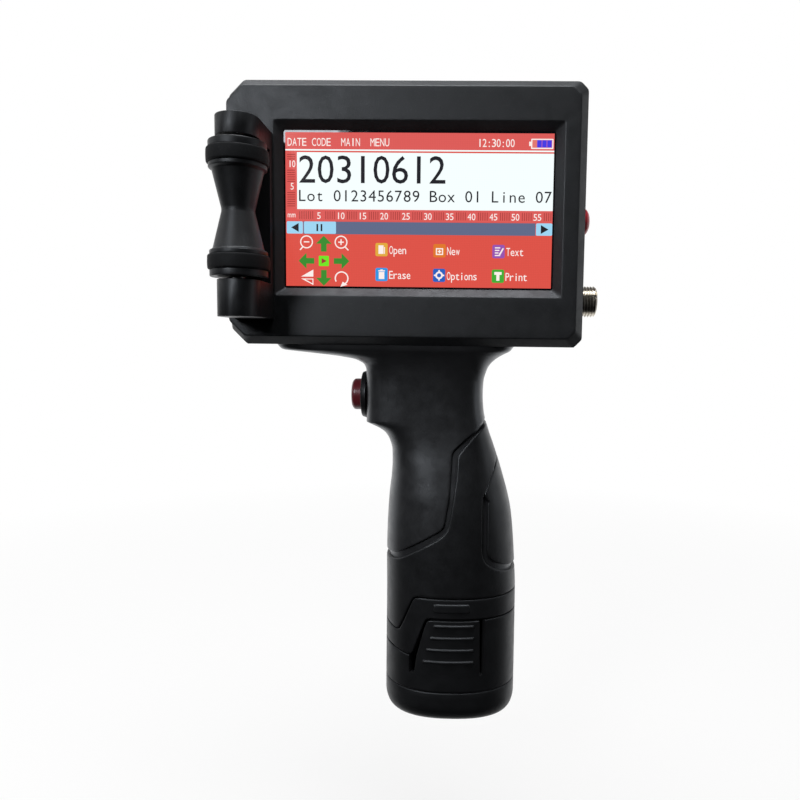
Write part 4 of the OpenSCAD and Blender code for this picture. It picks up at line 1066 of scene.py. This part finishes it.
class PRINTER_OT_stage(bpy.types.Operator):
    """Pale floor, soft boxes, a plain bright room and the camera"""

    bl_idname = "printer.stage"
    bl_label = "Stage"

    def execute(self, context):
        studio = context.scene.printer_studio
        top = -studio.floor_drop
        slab = prism(disc(0, 0, FLOOR_R, 96), top - FLOOR_T, top, plane="xy")
        floor = bpy.data.objects.new("floor", make_mesh("floor", slab))
        context.scene.collection.objects.link(floor)
        mat, nodes, links, bsdf, at = start_material("floor_paint")
        far = nodes.new("ShaderNodeVectorMath")
        far.operation = "LENGTH"
        links.new(at, far.inputs[0])
        fade = spread_value(nodes, links, far.outputs["Value"], 0, 1, 0.12, 0.75)
        pale = np.array(studio.floor[:])
        links.new(two_tone(nodes, links, fade, tuple(pale * 0.2), (0, 0, 0)), bsdf.inputs["Base Color"])
        links.new(two_tone(nodes, links, fade, tuple(pale * 0.93), (1, 1, 1)), bsdf.inputs["Emission Color"])
        bsdf.inputs["Emission Strength"].default_value = 1.0
        bsdf.inputs["Roughness"].default_value = 0.9
        bsdf.inputs["Specular IOR Level"].default_value = 0.0
        floor.data.materials.append(mat)
        floor.visible_diffuse = floor.visible_glossy = False
        lamps = {  # place, what it faces, width and height in metres, power
            "top": ((-0.06, -0.12, 0.93), MIDDLE, (0.8, 0.35), studio.top_light),
            "key": ((-0.46, -0.84, 0.50), MIDDLE, (0.3, 0.3), studio.key_light),
            "left": ((-0.80, -0.10, 0.45), (-0.03, 0, 0.16), (0.35, 0.5), studio.side_light),
            "right": ((0.80, -0.10, 0.25), (0, 0, 0.16), (0.30, 0.7), studio.side_light),
        }
        for name, lamp in lamps.items():
            soft_box("soft_box_" + name, *lamp)
        self.room(context, studio)
        self.camera(context)
        context.scene.view_settings.view_transform = "Standard"
        return {"FINISHED"}

    @staticmethod
    def room(context, studio):
        """A plain white room: bright behind, dim in front and falling off towards the floor, white to the camera."""
        world = bpy.data.worlds.new("room")
        context.scene.world = world
        world.use_nodes = True
        nodes, links = world.node_tree.nodes, world.node_tree.links
        nodes.clear()
        at = nodes.new("ShaderNodeTexCoord").outputs["Generated"]
        split = nodes.new("ShaderNodeSeparateXYZ")
        links.new(at, split.inputs[0])
        fall = spread_value(nodes, links, split.outputs["Z"], 0.03 * studio.surround, studio.surround, -0.1, 0.9)
        back = spread_value(nodes, links, split.outputs["Y"], 0, studio.backdrop, 0.0, 0.6)
        low = spread_value(nodes, links, split.outputs["Z"], 1, 0.22, 0.25, 0.65)

        def combined(operation, first, second):
            """The product or sum of two values."""
            node = nodes.new("ShaderNodeMath")
            node.operation = operation
            links.new(first, node.inputs[0])
            links.new(second, node.inputs[1])
            return node.outputs[0]

        strength = combined("ADD", fall, combined("MULTIPLY", back, low))
        seen, lights = nodes.new("ShaderNodeBackground"), nodes.new("ShaderNodeBackground")
        seen.inputs["Strength"].default_value = 1.0
        seen.inputs["Color"].default_value = (1, 1, 1, 1)
        links.new(strength, lights.inputs["Strength"])
        rays, mix, out = (nodes.new("ShaderNode" + n) for n in ("LightPath", "MixShader", "OutputWorld"))
        links.new(rays.outputs["Is Camera Ray"], mix.inputs[0])
        links.new(lights.outputs[0], mix.inputs[1])
        links.new(seen.outputs[0], mix.inputs[2])
        links.new(mix.outputs[0], out.inputs[0])

    @staticmethod
    def camera(context):
        """A camera in front, a little above the screen's foot, tilted down; its shift puts the head left of centre."""
        data = bpy.data.cameras.new("camera")
        data.lens, data.sensor_width = 29.25, 36.0
        data.shift_x, data.shift_y = -0.0508, -0.0072
        data.clip_start, data.clip_end = 0.01, 20
        obj = bpy.data.objects.new("camera", data)
        context.scene.collection.objects.link(obj)
        tilt, yaw, roll = math.radians(4.61), math.radians(-1.14), math.radians(-0.70)
        ahead = np.array([math.sin(yaw) * math.cos(tilt), math.cos(yaw) * math.cos(tilt), -math.sin(tilt)])
        level = np.array([math.cos(yaw), -math.sin(yaw), 0])
        down = np.cross(ahead, level)
        right = math.cos(roll) * level + math.sin(roll) * down
        low = -math.sin(roll) * level + math.cos(roll) * down
        put(obj, right, -low, -ahead, (0, -0.25699, 0.146))
        context.scene.camera = obj


OPERATORS = (PRINTER_OT_front_cover, PRINTER_OT_rear_housing, PRINTER_OT_screen, PRINTER_OT_inner_parts,
             PRINTER_OT_rollers, PRINTER_OT_controls, PRINTER_OT_grip, PRINTER_OT_battery, PRINTER_OT_stage)
GROUPS = (("printer_colours", PrinterColours), ("printer_finish", PrinterFinish), ("printer_studio", PrinterStudio))


class VIEW3D_PT_printer(bpy.types.Panel):
    """Printer settings and the operators that build its pieces"""

    bl_idname = "VIEW3D_PT_printer"
    bl_label = "Date Code Printer"
    bl_space_type = "VIEW_3D"
    bl_region_type = "UI"
    bl_category = "Printer"

    def draw(self, context):
        for name, group in GROUPS:
            box = self.layout.box()
            for prop in group.__annotations__:
                box.prop(getattr(context.scene, name), prop)
        for op in OPERATORS:
            self.layout.operator(op.bl_idname)


def register():
    """Registers the classes and puts the settings on the scene."""
    for _, group in GROUPS:
        bpy.utils.register_class(group)
    for cls in (*OPERATORS, VIEW3D_PT_printer):
        bpy.utils.register_class(cls)
    for name, group in GROUPS:
        setattr(bpy.types.Scene, name, PointerProperty(type=group))


def unregister():
    """Takes the settings and classes away again."""
    for name, _ in GROUPS:
        delattr(bpy.types.Scene, name)
    for cls in (VIEW3D_PT_printer, *OPERATORS[::-1]):
        bpy.utils.unregister_class(cls)
    for _, group in GROUPS[::-1]:
        bpy.utils.unregister_class(group)


def main():
    """Builds every piece, then the stage."""
    register()
    for op in OPERATORS:
        module, name = op.bl_idname.split(".")
        getattr(getattr(bpy.ops, module), name)()


if __name__ == "__main__":
    main()
